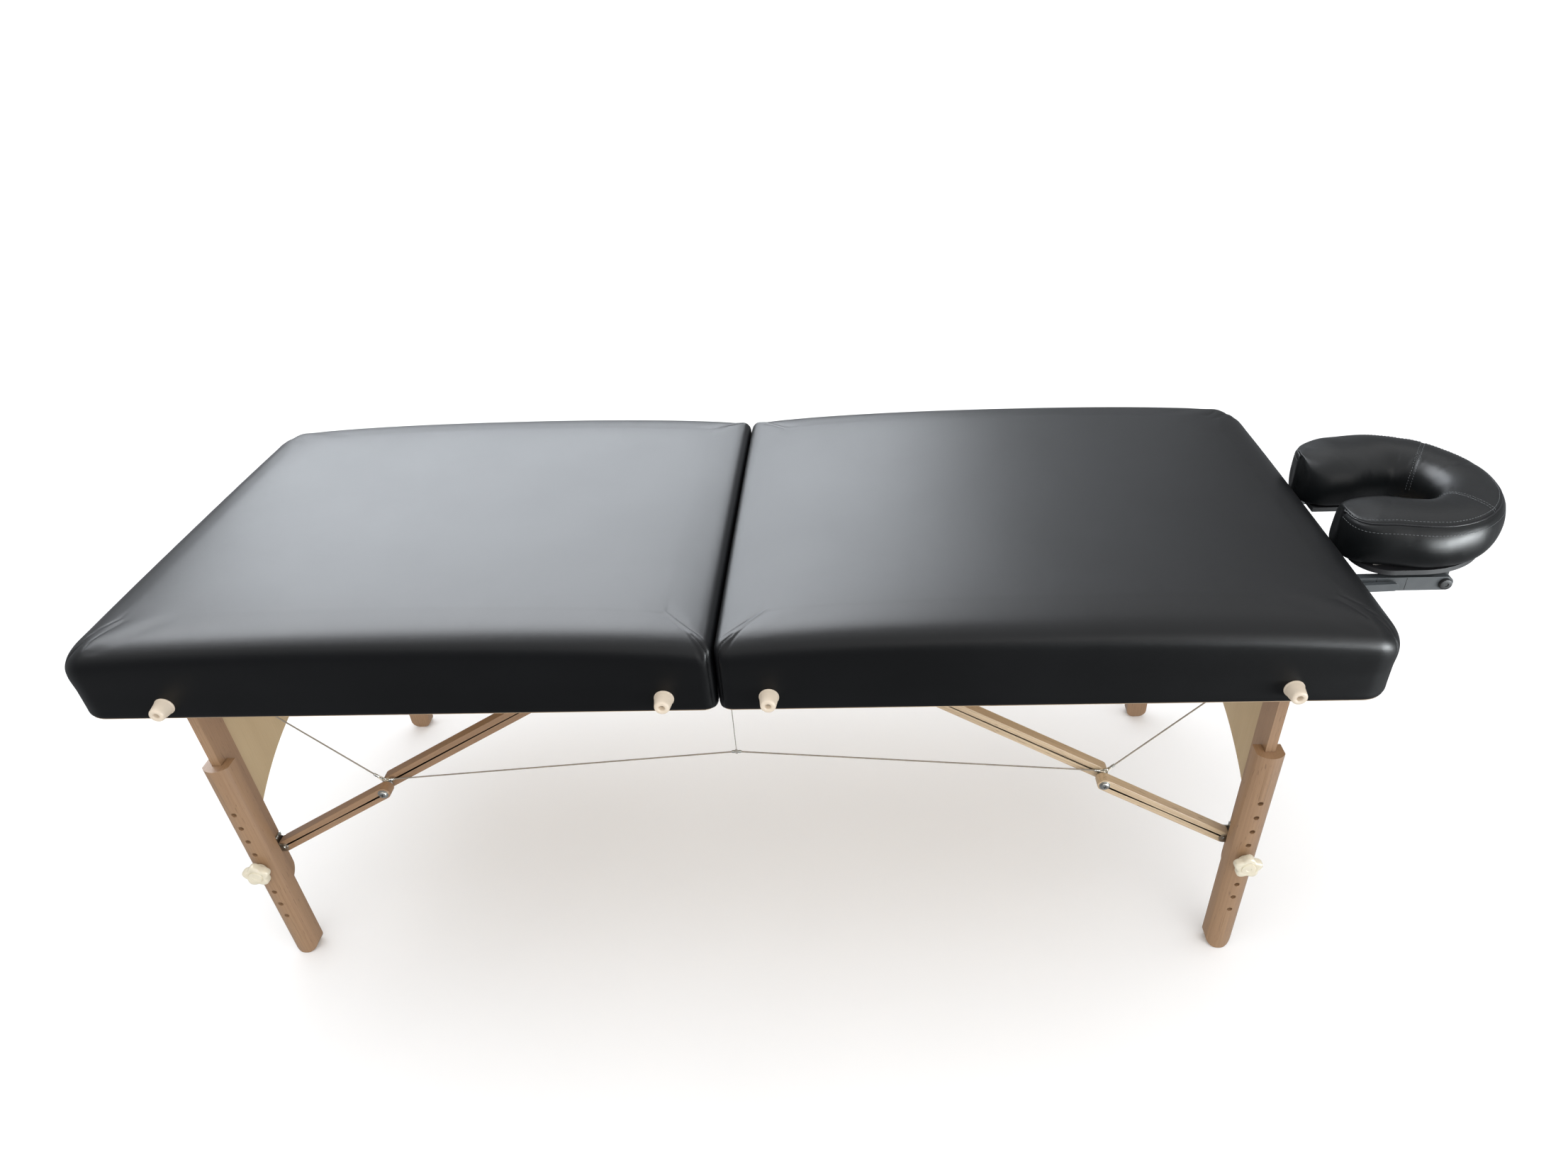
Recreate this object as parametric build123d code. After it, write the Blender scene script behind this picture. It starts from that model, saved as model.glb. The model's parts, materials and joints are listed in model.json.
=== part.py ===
"""Portable massage table: two padded panels hinged in the middle, wooden leg frames, face cradle.

Millimetres, +Z up, floor at z = 0. X runs along the table towards the face cradle and
Y across it, with the carrying feet on the -Y side. Every shape is first placed from the
hinge line (x = 0), and save() then moves it so that the whole table is centred on x = 0.
"""
import os
from math import atan2, cos, degrees, hypot, pi, sin

from build123d import *

os.makedirs("parts", exist_ok=True)

# Table top
HALF_LENGTH = 927.0
WIDTH = 711.0
TOP_Z = 736.6
BOTTOM_Z = 609.0
RAIL_HEIGHT = 60.0
RAIL_THICK = 16.0
CROSS_RAIL_THICK = 18.0
DECK_THICK = 6.0
COVER_THICK = 1.5
SEAM_GAP = 0.75
END_CORNER_R = 45.0
SEAM_CORNER_R = 20.0
TOP_EDGE_R = 17.0
FIT_GAP = 0.2

# Centre hinge
HINGE_Z = BOTTOM_Z - 0.5
PIN_R = 1.5
KNUCKLE_R = 3.2
RUNNING_GAP = 0.05
LEAF_THICK = 1.2
LEAF_REACH = 24.0
HINGE_HALF_LENGTH = 300.0
KNUCKLE_LENGTH = 50.0

# Legs: one fixed board and one sliding lower leg at each corner
LEG_X = 812.0
LEG_PIVOT_Z = 633.0
LEG_FRONT_Y = -310.0
LEG_WIDTH = 42.0
LEG_DEPTH = 32.0
LEG_SIDE_DEPTH = 21.0
LEG_TOP_Z = 455.0
FOOT_CORNER_R = 17.0
GROOVE_DEPTH = 15.0
GROOVE_START_Z = 45.0
BOARD_THICK = 15.0
BOARD_FRONT_Y = -294.5
BOARD_BACK_Y = -249.5
BOARD_END_Z = 150.0
HOLE_COUNT = 9
HOLE_PITCH = 31.75
KNOB_Z = 232.0
HOLE_R = 4.4
STUD_R = 4.0
STUD_END_Y = -326.0
PIVOT_R = 4.0
BLOCK_INNER_Y = -296.0
BLOCK_WIDTH = 40.0

# Plywood end plate with its arched lower edge
PLATE_THICK = 9.0
PLATE_HALF_WIDTH = 275.0
PLATE_TOP_Z = 640.0
PLATE_LEG_Z = 300.0
PLATE_ARCH_Z = 385.0

# Folding braces, as points in the XZ plane
BRACE_TOP = (101.0, 650.0)
BRACE_FOOT = (790.0, 237.0)
UPPER_BRACE_LENGTH = 561.0
BRACE_HEIGHT = 22.0
BRACE_THICK = 18.0
LOWER_BRACE_FRONT_Y = -270.0
UPPER_BRACE_FRONT_Y = -244.0
BRACE_BOLT_R = 3.0
LUG_THICK = 2.0
WASHER_R = 8.5
WASHER_THICK = 3.0
EYE_WASHER_R = 6.5

# Knob
KNOB_R = 23.0
KNOB_WAIST_R = 17.5
KNOB_LOBES = 5
KNOB_BACK_Y = LEG_FRONT_Y - 0.5
KNOB_DEPTH = 21.0

# Feet and handles on the long sides
SIDE_FOOT_Z = 634.0
SIDE_FOOT_X = (73.0, 785.0)
SIDE_FOOT_LENGTH = 22.0
SIDE_FOOT_BASE_R = 14.0
SIDE_FOOT_TIP_R = 11.0
HANDLE_X = 463.0
HANDLE_LENGTH = 130.0
HANDLE_REACH = 32.0
HANDLE_WIDTH = 26.0
HANDLE_THICK = 5.0

# Cables
CABLE_R = 1.2
CABLE_Y = UPPER_BRACE_FRONT_Y - 3.0
CABLE_MID_Z = 424.0
OUTER_CABLE_TOP_Z = 596.0
EYE_R = 5.0
RING_R = 3.2
RING_REACH = 10.6
RING_WIRE_R = 1.1

# Face cradle
DOWEL_Y = 103.0
DOWEL_Z = 645.0
DOWEL_R = 8.0
DOWEL_START_X = 872.0
DOWEL_POCKET = 7.0
SLEEVE_R = 10.0
SLEEVE_START_X = 870.0
CROSSBAR_X = (934.0, 958.0)
CROSSBAR_HALF_WIDTH = 122.0
CROSSBAR_Z = (634.0, 660.0)
ARM_Y = 137.0
ARM_THICK = 12.0
ARM_HEIGHT = 24.0
NEAR_AXLE = (946.0, 647.0)
FAR_AXLE = (1088.0, 647.0)
AXLE_R = 4.0
PLATFORM_Z = 672.0
PLATFORM_THICK = 8.0
CUSHION_X = (938.0, 1205.0)
CUSHION_HALF_WIDTH = 165.0
CUSHION_Z = (681.0, 752.0)
FACE_HOLE_HALF_WIDTH = 46.0
FACE_SLOT_HALF_WIDTH = 30.0
FACE_HOLE_END_X = 1112.0

CENTRING_X = (HALF_LENGTH - CUSHION_X[1]) / 2


def save(name, *shapes):
    """Write one node: its separate solids, moved so that the table is centred."""
    moved = [shape.moved(Location((CENTRING_X, 0, 0))) for shape in shapes]
    solids = [solid for shape in moved for solid in shape.solids()]
    whole = solids[0] if len(solids) == 1 else Compound(solids)
    export_step(whole, f"parts/{name}.step")


def block(xs, ys, zs):
    """A box between two values on each axis."""
    size = [abs(b - a) for a, b in (xs, ys, zs)]
    middle = [(a + b) / 2 for a, b in (xs, ys, zs)]
    return Pos(*middle) * Box(*size)


def rod(start, end, radius):
    """A round bar between two points."""
    axis = Vector(*end) - Vector(*start)
    plane = Plane(origin=start, z_dir=axis)
    return extrude(plane * Circle(radius), axis.length)


def rod_y(x, z, y0, y1, radius):
    """A round bar along Y."""
    return rod((x, min(y0, y1), z), (x, max(y0, y1), z), radius)


def bar_xz(start, end, height, ys):
    """A flat bar with round ends between two points of the XZ plane."""
    length = hypot(end[0] - start[0], end[1] - start[1])
    angle = degrees(atan2(end[1] - start[1], end[0] - start[0]))
    centre = ((start[0] + end[0]) / 2, min(ys), (start[1] + end[1]) / 2)
    plane = Plane(origin=centre, x_dir=(1, 0, 0), z_dir=(0, -1, 0))
    outline = plane * (Rot(0, 0, angle) * SlotCenterToCenter(length, height))
    return extrude(outline, -abs(ys[1] - ys[0]))


def both_sides(shape):
    """The shape and its mirror image across the table's middle."""
    return [shape, mirror(shape, about=Plane.XZ)]


def at_end(end, shapes):
    """Shapes are drawn at the head end, and mirrored for the foot end."""
    if end == "head":
        return list(shapes)
    return [mirror(shape, about=Plane.YZ) for shape in shapes]


def panel_outline(inset):
    """One panel seen from above, with wide outer corners and tighter ones at the seam."""
    x0 = SEAM_GAP + inset
    x1 = HALF_LENGTH - inset
    half = WIDTH / 2 - inset
    outline = Pos((x0 + x1) / 2, 0) * Rectangle(x1 - x0, 2 * half)
    outer = outline.vertices().filter_by(lambda v: v.X > x0 + 1)
    outline = fillet(outer, END_CORNER_R - inset)
    inner = outline.vertices().filter_by(lambda v: v.X < x0 + 1)
    return fillet(inner, SEAM_CORNER_R - inset)


def panel_block(inset, z0, z1, top_r=0.0):
    solid = extrude(Pos(0, 0, z0) * panel_outline(inset), z1 - z0)
    if top_r:
        solid = fillet(solid.edges().group_by(Axis.Z)[-1], top_r)
    return solid


WOOD_INSET = COVER_THICK + FIT_GAP
RAIL_OUTER_Y = WIDTH / 2 - WOOD_INSET
RAIL_INNER_Y = RAIL_OUTER_Y - RAIL_THICK
DECK_Z = BOTTOM_Z + RAIL_HEIGHT
FOAM_Z = DECK_Z + DECK_THICK
HINGE_NOTCH = rod_y(0, HINGE_Z, -HINGE_HALF_LENGTH - 2, HINGE_HALF_LENGTH + 2, KNUCKLE_R + 0.6)
LEAF_RECESS = block(
    (0, LEAF_REACH + 0.5),
    (-HINGE_HALF_LENGTH - 2, HINGE_HALF_LENGTH + 2),
    (BOTTOM_Z - 1, BOTTOM_Z + LEAF_THICK + 0.2),
)


def outlet_bores(radius):
    x0 = SLEEVE_START_X - 1
    return [rod((x0, y, DOWEL_Z), (HALF_LENGTH + 1, y, DOWEL_Z), radius) for y in (-DOWEL_Y, DOWEL_Y)]


def cut_outlets(solid):
    """Both ends have two round outlets, for the face cradle or another accessory."""
    for bore in outlet_bores(SLEEVE_R + FIT_GAP / 2):
        solid = solid - bore
    return solid


def side_rails():
    """The long rails, and the blocks inside them that carry the leg pivots."""
    wood = panel_block(WOOD_INSET, BOTTOM_Z, DECK_Z)
    strip = block((0, HALF_LENGTH), (-WIDTH / 2, -RAIL_INNER_Y), (BOTTOM_Z, DECK_Z))
    rail = wood & strip
    pivot_block = block(
        (LEG_X - BLOCK_WIDTH / 2, LEG_X + BLOCK_WIDTH / 2),
        (-RAIL_INNER_Y, BLOCK_INNER_Y),
        (BOTTOM_Z + 3, DECK_Z),
    )
    bore = rod_y(LEG_X, LEG_PIVOT_Z, -RAIL_INNER_Y + 6, BLOCK_INNER_Y + 1, PIVOT_R + RUNNING_GAP)
    return both_sides(rail) + both_sides(pivot_block - bore)


def cross_rails():
    wood = panel_block(WOOD_INSET, BOTTOM_Z, DECK_Z)
    inner_y = RAIL_INNER_Y - 0.05
    outer_x = HALF_LENGTH - WOOD_INSET
    end_rail = wood & block((outer_x - CROSS_RAIL_THICK, outer_x), (-inner_y, inner_y), (BOTTOM_Z, DECK_Z))
    seam_x = SEAM_GAP + WOOD_INSET
    seam_rail = wood & block((seam_x, seam_x + CROSS_RAIL_THICK + 8), (-inner_y, inner_y), (BOTTOM_Z, DECK_Z))
    return [cut_outlets(end_rail), seam_rail - HINGE_NOTCH - LEAF_RECESS]


def cover():
    """The vinyl skin: over the foam, down all four sides to the lower edge."""
    skin = panel_block(0, BOTTOM_Z, TOP_Z, TOP_EDGE_R)
    inside = panel_block(COVER_THICK, BOTTOM_Z - 1, TOP_Z - COVER_THICK, TOP_EDGE_R - COVER_THICK)
    return cut_outlets(skin - inside - HINGE_NOTCH - LEAF_RECESS)


def foam():
    return panel_block(WOOD_INSET, FOAM_Z, TOP_Z - WOOD_INSET, TOP_EDGE_R - WOOD_INSET)


def side_feet():
    """Tapered rubber feet that the closed case stands on, each with a screw recess."""
    feet = []
    for x in SIDE_FOOT_X:
        plane = Plane(origin=(x, -WIDTH / 2, SIDE_FOOT_Z), z_dir=(0, -1, 0))
        cone = loft([plane * Circle(SIDE_FOOT_BASE_R), plane.offset(SIDE_FOOT_LENGTH) * Circle(SIDE_FOOT_TIP_R)])
        tip_y = -WIDTH / 2 - SIDE_FOOT_LENGTH
        cone = fillet(cone.edges().group_by(Axis.Y)[0], 2.0)
        feet.append(cone - rod_y(x, SIDE_FOOT_Z, tip_y - 1, tip_y + 12, 3.5))
    return feet


def handle():
    """A carrying handle: two posts and a grip."""
    y0 = WIDTH / 2 + 0.05
    y1 = WIDTH / 2 + HANDLE_REACH
    zs = (SIDE_FOOT_Z - HANDLE_WIDTH / 2, SIDE_FOOT_Z + HANDLE_WIDTH / 2)
    half = HANDLE_LENGTH / 2
    post = 16.0
    posts = [
        block((HANDLE_X - half, HANDLE_X - half + post), (y0, y1 - HANDLE_THICK), zs),
        block((HANDLE_X + half - post, HANDLE_X + half), (y0, y1 - HANDLE_THICK), zs),
    ]
    grip = block((HANDLE_X - half, HANDLE_X + half), (y1 - HANDLE_THICK, y1), zs)
    return posts + [fillet(grip.edges().filter_by(Axis.X), 2.0)]


def hinge_leaf(end):
    """A piano-hinge leaf: its plate and every second knuckle around the pin."""
    ys = (-HINGE_HALF_LENGTH, HINGE_HALF_LENGTH)
    plate = block((KNUCKLE_R + 0.8, LEAF_REACH), ys, (BOTTOM_Z, BOTTOM_Z + LEAF_THICK))
    count = int(2 * HINGE_HALF_LENGTH / KNUCKLE_LENGTH)
    first = 0 if end == "head" else 1
    for index in range(first, count, 2):
        y0 = -HINGE_HALF_LENGTH + index * KNUCKLE_LENGTH + 0.3
        y1 = y0 + KNUCKLE_LENGTH - 0.6
        tongue = block((2.2, KNUCKLE_R + 1.0), (y0, y1), (BOTTOM_Z, BOTTOM_Z + LEAF_THICK))
        knuckle = rod_y(0, HINGE_Z, y0, y1, KNUCKLE_R)
        plate = plate + tongue + knuckle
    return plate - rod_y(0, HINGE_Z, ys[0] - 1, ys[1] + 1, PIN_R + RUNNING_GAP)


def brace_point(distance):
    """A point on the open brace's straight line, this far down from its top pivot."""
    dx = BRACE_FOOT[0] - BRACE_TOP[0]
    dz = BRACE_FOOT[1] - BRACE_TOP[1]
    full = hypot(dx, dz)
    return (BRACE_TOP[0] + dx * distance / full, BRACE_TOP[1] + dz * distance / full)


KNUCKLE = brace_point(UPPER_BRACE_LENGTH)
UPPER_BRACE_YS = (UPPER_BRACE_FRONT_Y, UPPER_BRACE_FRONT_Y + BRACE_THICK)
LOWER_BRACE_YS = (LOWER_BRACE_FRONT_Y, LOWER_BRACE_FRONT_Y + BRACE_THICK)
BOLT_BORE_R = BRACE_BOLT_R + RUNNING_GAP


def brace_brackets():
    """Steel forks under the deck, with the bolts that the upper braces turn on."""
    x, z = BRACE_TOP
    y0, y1 = UPPER_BRACE_YS
    fork = block((x - 18, x + 18), (y0 - 6, y1 + 6), (DECK_Z - LUG_THICK, DECK_Z))
    for lug_y in (y0 - 0.5 - LUG_THICK, y1 + 0.5):
        lug = block((x - 10, x + 10), (lug_y, lug_y + LUG_THICK), (z, DECK_Z - 0.5))
        fork = fork + lug + rod_y(x, z, lug_y, lug_y + LUG_THICK, 10)
    fork = fork - rod_y(x, z, y0 - 5, y1 + 5, BOLT_BORE_R)
    bolt = rod_y(x, z, y0 - 4.5, y1 + 4.5, BRACE_BOLT_R)
    return both_sides(fork) + both_sides(bolt)


def leg_pivots():
    """Bolts that hang the leg boards on the blocks."""
    bolt = rod_y(LEG_X, LEG_PIVOT_Z, -RAIL_INNER_Y + 8, BOARD_BACK_Y + 0.6, PIVOT_R)
    head = rod_y(LEG_X, LEG_PIVOT_Z, BOARD_BACK_Y + 0.5, BOARD_BACK_Y + 5.5, 7)
    return both_sides(bolt + head)


def upper_legs():
    """The leg boards, round at both ends, bored for the pivot bolt and the clamp stud."""
    ys = (BOARD_FRONT_Y, BOARD_BACK_Y)
    xs = (LEG_X - BOARD_THICK / 2, LEG_X + BOARD_THICK / 2)
    board = block(xs, ys, (BOARD_END_Z, LEG_PIVOT_Z + 18))
    low_back = board.edges().filter_by(Axis.X).group_by(Axis.Z)[0].sort_by(Axis.Y)[-1]
    board = fillet(low_back, 28)
    board = board - rod_y(LEG_X, LEG_PIVOT_Z, ys[0] - 1, ys[1] + 1, PIVOT_R + RUNNING_GAP)
    board = board - rod_y(LEG_X, KNOB_Z, ys[0] - 1, ys[0] + 32, STUD_R + 0.02)
    return both_sides(board)


def end_plate():
    """Plywood between the two leg boards, arched below."""
    x0 = LEG_X + BOARD_THICK / 2
    plane = Plane(origin=(x0, 0, 0), x_dir=(0, 1, 0), z_dir=(1, 0, 0))
    half = PLATE_HALF_WIDTH
    shoulder = half - 28
    outline = Polyline(
        (-half, PLATE_LEG_Z),
        (-half, PLATE_TOP_Z),
        (half, PLATE_TOP_Z),
        (half, PLATE_LEG_Z),
        (shoulder, PLATE_LEG_Z),
    )
    arch = ThreePointArc((shoulder, PLATE_LEG_Z), (0, PLATE_ARCH_Z), (-shoulder, PLATE_LEG_Z))
    edge = Line((-shoulder, PLATE_LEG_Z), (-half, PLATE_LEG_Z))
    return extrude(plane * make_face([outline, arch, edge]), PLATE_THICK)


def brace_lugs():
    """Steel forks on the leg boards for the lower braces, and the outer cables' eyes."""
    x, z = BRACE_FOOT
    face_x = LEG_X - BOARD_THICK / 2
    y0, y1 = LOWER_BRACE_YS
    fork = block((face_x - LUG_THICK, face_x), (y0 - 2.5, y1 + 2.5), (z - 16, z + 16))
    for lug_y in (y0 - 0.5 - LUG_THICK, y1 + 0.5):
        lug = block((x, face_x - 0.5), (lug_y, lug_y + LUG_THICK), (z - 8, z + 8))
        fork = fork + lug + rod_y(x, z, lug_y, lug_y + LUG_THICK, 8)
    fork = fork - rod_y(x, z, y0 - 5, y1 + 5, BOLT_BORE_R)
    bolt = rod_y(x, z, y0 - 3.5, y1 + 3.5, BRACE_BOLT_R)
    ex, ez = OUTER_EYE
    pad = block((face_x - 1.5, face_x), (BOARD_BACK_Y - 16, CABLE_Y + 2), (ez - 7, ez + 7))
    eye = Pos(ex, CABLE_Y, ez) * Rot(90, 0, 0) * Torus(EYE_R, RING_WIRE_R)
    eye = eye + rod((ex + EYE_R, CABLE_Y, ez), (face_x - 1, CABLE_Y, ez), RING_WIRE_R) + pad
    return both_sides(fork) + both_sides(bolt) + both_sides(eye)


OUTER_EYE = (LEG_X - BOARD_THICK / 2 - EYE_R - 2.5, OUTER_CABLE_TOP_Z)


def leg_studs():
    """Threaded studs through the lower legs, for the knobs."""
    return both_sides(rod_y(LEG_X, KNOB_Z, STUD_END_Y, BOARD_FRONT_Y + 30, STUD_R))


def lower_leg():
    """A D-shaped bar, grooved behind for the board, with nine adjustment holes."""
    half = LEG_WIDTH / 2
    back_y = LEG_FRONT_Y + LEG_DEPTH
    side_y = back_y - LEG_SIDE_DEPTH
    straight = Polyline(
        (LEG_X - half, side_y),
        (LEG_X - half, back_y),
        (LEG_X + half, back_y),
        (LEG_X + half, side_y),
    )
    curve = ThreePointArc((LEG_X + half, side_y), (LEG_X, LEG_FRONT_Y), (LEG_X - half, side_y))
    bar = extrude(make_face([straight, curve]), LEG_TOP_Z)
    silhouette = block((LEG_X - half, LEG_X + half), (LEG_FRONT_Y, back_y), (0, LEG_TOP_Z))
    corners = silhouette.edges().filter_by(Axis.Y).group_by(Axis.Z)[0]
    bar = bar & fillet(corners, FOOT_CORNER_R)
    groove_half = BOARD_THICK / 2 + 0.4
    groove = block(
        (LEG_X - groove_half, LEG_X + groove_half),
        (back_y - GROOVE_DEPTH - 2, back_y + 1),
        (GROOVE_START_Z, LEG_TOP_Z + 1),
    )
    bar = bar - groove
    for index in range(HOLE_COUNT):
        z = KNOB_Z + (index - HOLE_COUNT // 2) * HOLE_PITCH
        bar = bar - rod_y(LEG_X, z, LEG_FRONT_Y - 1, back_y, HOLE_R)
    return bar


def knob():
    """A five-lobed clamp knob with a shallow round boss on its face."""
    plane = Plane(origin=(LEG_X, KNOB_BACK_Y, KNOB_Z), x_dir=(1, 0, 0), z_dir=(0, -1, 0))
    lobe_r = KNOB_R - KNOB_WAIST_R + 3.5
    face = Circle(KNOB_WAIST_R)
    for index in range(KNOB_LOBES):
        angle = 2 * pi * index / KNOB_LOBES + pi / 2
        reach = KNOB_R - lobe_r
        face = face + Pos(reach * cos(angle), reach * sin(angle)) * Circle(lobe_r)
    star = extrude(plane.offset(7) * face, KNOB_DEPTH - 8)
    hub = extrude(plane * Circle(11), 8)
    boss = extrude(plane.offset(KNOB_DEPTH - 2) * Circle(12), 2)
    return star + hub + boss - rod_y(LEG_X, KNOB_Z, STUD_END_Y - 0.5, 0, STUD_R + RUNNING_GAP)


def upper_braces():
    bar = bar_xz(BRACE_TOP, KNUCKLE, BRACE_HEIGHT, UPPER_BRACE_YS)
    y0, y1 = UPPER_BRACE_YS
    bar = bar - rod_y(*BRACE_TOP, y0 - 1, y1 + 1, BOLT_BORE_R)
    return both_sides(bar - rod_y(*KNUCKLE, y0 - 1, y1 + 1, BRACE_BOLT_R + 0.02))


def lower_braces():
    bar = bar_xz(KNUCKLE, BRACE_FOOT, BRACE_HEIGHT, LOWER_BRACE_YS)
    y0, y1 = LOWER_BRACE_YS
    bar = bar - rod_y(*BRACE_FOOT, y0 - 1, y1 + 1, BOLT_BORE_R)
    return both_sides(bar - rod_y(*KNUCKLE, y0 - 1, y1 + 1, BRACE_BOLT_R + 0.02))


def knuckle_bolts():
    """Bolt head, shank and spacer washer, carried by the lower brace."""
    y0, y1 = LOWER_BRACE_YS
    head = rod_y(*KNUCKLE, y0 - 3.5, y0, 6.5)
    shank = rod_y(*KNUCKLE, y0 - 1, y1 + 1, BRACE_BOLT_R)
    washer = rod_y(*KNUCKLE, y1, y1 + WASHER_THICK, WASHER_R)
    return both_sides(fillet(head.edges().group_by(Axis.Y)[0], 1.5) + shank + washer)


def knuckle_rings():
    """Nuts behind the upper braces, and the small rings that the cables hook into."""
    y0, y1 = UPPER_BRACE_YS
    nut = rod_y(*KNUCKLE, y1, y1 + 4.5, 6.5) + rod_y(*KNUCKLE, y0 + 0.5, y1 + 1, BRACE_BOLT_R)
    x, z = RING_CENTRE
    ring = Pos(x, CABLE_Y, z) * Rot(90, 0, 0) * Torus(RING_R, RING_WIRE_R)
    washer = rod_y(*KNUCKLE, y0 - 4.4, y0, EYE_WASHER_R)
    foot = square_over_knuckle(EYE_WASHER_R - 1)
    tip = square_over_knuckle(RING_REACH - RING_R)
    stem = rod((foot[0], CABLE_Y, foot[1]), (tip[0], CABLE_Y, tip[1]), RING_WIRE_R)
    return both_sides(nut) + both_sides(washer + stem + ring)


def square_over_knuckle(reach):
    """A point this far from the knuckle, at right angles to the open brace."""
    slope = atan2(BRACE_FOOT[1] - BRACE_TOP[1], BRACE_FOOT[0] - BRACE_TOP[0])
    return (KNUCKLE[0] - reach * sin(slope), KNUCKLE[1] + reach * cos(slope))


RING_CENTRE = square_over_knuckle(RING_REACH)


def cable_run(start, end, trim_start, trim_end):
    """A straight cable between two points of the cable plane, short of both by a little."""
    length = hypot(end[0] - start[0], end[1] - start[1])
    ux = (end[0] - start[0]) / length
    uz = (end[1] - start[1]) / length
    a = (start[0] + ux * trim_start, CABLE_Y, start[1] + uz * trim_start)
    b = (end[0] - ux * trim_end, CABLE_Y, end[1] - uz * trim_end)
    return rod(a, b, CABLE_R)


def outer_cables():
    return both_sides(cable_run(RING_CENTRE, OUTER_EYE, RING_R + 1.8, EYE_R + 1.8))


def centre_cables():
    return both_sides(cable_run(RING_CENTRE, (0, CABLE_MID_Z), RING_R + 1.8, 1.5))


def drop_cords():
    return both_sides(rod((0, CABLE_Y, CABLE_MID_Z + 2), (0, CABLE_Y, HINGE_Z - KNUCKLE_R - 0.3), 0.8))


def outlet_sleeves():
    sleeves = []
    for y in (-DOWEL_Y, DOWEL_Y):
        outside = rod((SLEEVE_START_X, y, DOWEL_Z), (HALF_LENGTH - 0.5, y, DOWEL_Z), SLEEVE_R)
        bore = rod((SLEEVE_START_X - 1, y, DOWEL_Z), (HALF_LENGTH + 1, y, DOWEL_Z), DOWEL_R + RUNNING_GAP)
        sleeves.append(outside - bore)
    return sleeves


def cradle_dowels():
    end_x = CROSSBAR_X[0] + DOWEL_POCKET
    return both_sides(rod((DOWEL_START_X, -DOWEL_Y, DOWEL_Z), (end_x, -DOWEL_Y, DOWEL_Z), DOWEL_R))


def cradle_crossbar():
    bar = block(CROSSBAR_X, (-CROSSBAR_HALF_WIDTH, CROSSBAR_HALF_WIDTH), CROSSBAR_Z)
    bar = fillet(bar.edges().filter_by(Axis.Y), 5)
    for y in (-DOWEL_Y, DOWEL_Y):
        bar = bar - rod((CROSSBAR_X[0] - 1, y, DOWEL_Z), (CROSSBAR_X[0] + DOWEL_POCKET, y, DOWEL_Z), DOWEL_R)
    axle = rod_y(*NEAR_AXLE, -ARM_Y - 4, ARM_Y + 4, AXLE_R)
    return bar + axle


def cradle_arms():
    """Two side arms joined by the far axle."""
    arms = []
    for side in (-1, 1):
        ys = (side * (ARM_Y - ARM_THICK), side * ARM_Y)
        arm = bar_xz(NEAR_AXLE, FAR_AXLE, ARM_HEIGHT, (min(ys), max(ys)))
        arms.append(arm - rod_y(*NEAR_AXLE, min(ys) - 1, max(ys) + 1, AXLE_R + RUNNING_GAP))
    return arms[0] + arms[1] + rod_y(*FAR_AXLE, -ARM_Y - 4, ARM_Y + 4, AXLE_R)


def horseshoe(x0, x1, half, hole_half, slot_half, hole_end, z0, z1):
    """A horseshoe that opens towards the table."""
    radius = min(half, (x1 - x0) * 0.62)
    outline = Pos((x0 + x1) / 2, 0) * Rectangle(x1 - x0, 2 * half)
    far = outline.vertices().filter_by(lambda v: v.X > x0 + 1)
    outline = fillet(far, radius - 1)
    near = outline.vertices().filter_by(lambda v: v.X < x0 + 1)
    outline = fillet(near, 50)
    centre = hole_end - hole_half
    hole = Pos(centre, 0) * Circle(hole_half)
    hole = hole + Pos((centre + x0 - 10) / 2, 0) * Rectangle(centre - x0 + 10, 2 * slot_half)
    return extrude(Pos(0, 0, z0) * (outline - hole), z1 - z0)


def cradle_cushion():
    hole = (FACE_HOLE_HALF_WIDTH, FACE_SLOT_HALF_WIDTH, FACE_HOLE_END_X)
    solid = horseshoe(*CUSHION_X, CUSHION_HALF_WIDTH, *hole, *CUSHION_Z)
    return fillet(solid.edges().group_by(Axis.Z)[-1], 14)


def cradle_platform():
    """The cushion's plate, with two lugs that turn on the far axle."""
    plate = horseshoe(
        CUSHION_X[0] + 14,
        CUSHION_X[1] - 22,
        CUSHION_HALF_WIDTH - 16,
        FACE_HOLE_HALF_WIDTH + 8,
        FACE_SLOT_HALF_WIDTH + 8,
        FACE_HOLE_END_X + 8,
        PLATFORM_Z,
        PLATFORM_Z + PLATFORM_THICK,
    )
    x, z = FAR_AXLE
    for side in (-1, 1):
        ys = (side * (ARM_Y - ARM_THICK - 9), side * (ARM_Y - ARM_THICK - 1))
        lug = block((x - 10, x + 10), (min(ys), max(ys)), (z, PLATFORM_Z + 1))
        lug = lug + rod_y(x, z, min(ys), max(ys), 10)
        plate = plate + lug
    return plate - rod_y(x, z, -ARM_Y, ARM_Y, AXLE_R + RUNNING_GAP)


def cam_lever():
    """The clamp lever on the near end of the crossbar's axle."""
    y1 = -ARM_Y - 0.5
    x, z = NEAR_AXLE
    hub = rod_y(x, z, y1 - 11, y1, 10)
    grip = bar_xz((x, z), (x + 62, z + 2), 13, (y1 - 11, y1 - 4))
    return hub + grip - rod_y(x, z, y1 - 5, y1 + 1, AXLE_R + RUNNING_GAP)


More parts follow.
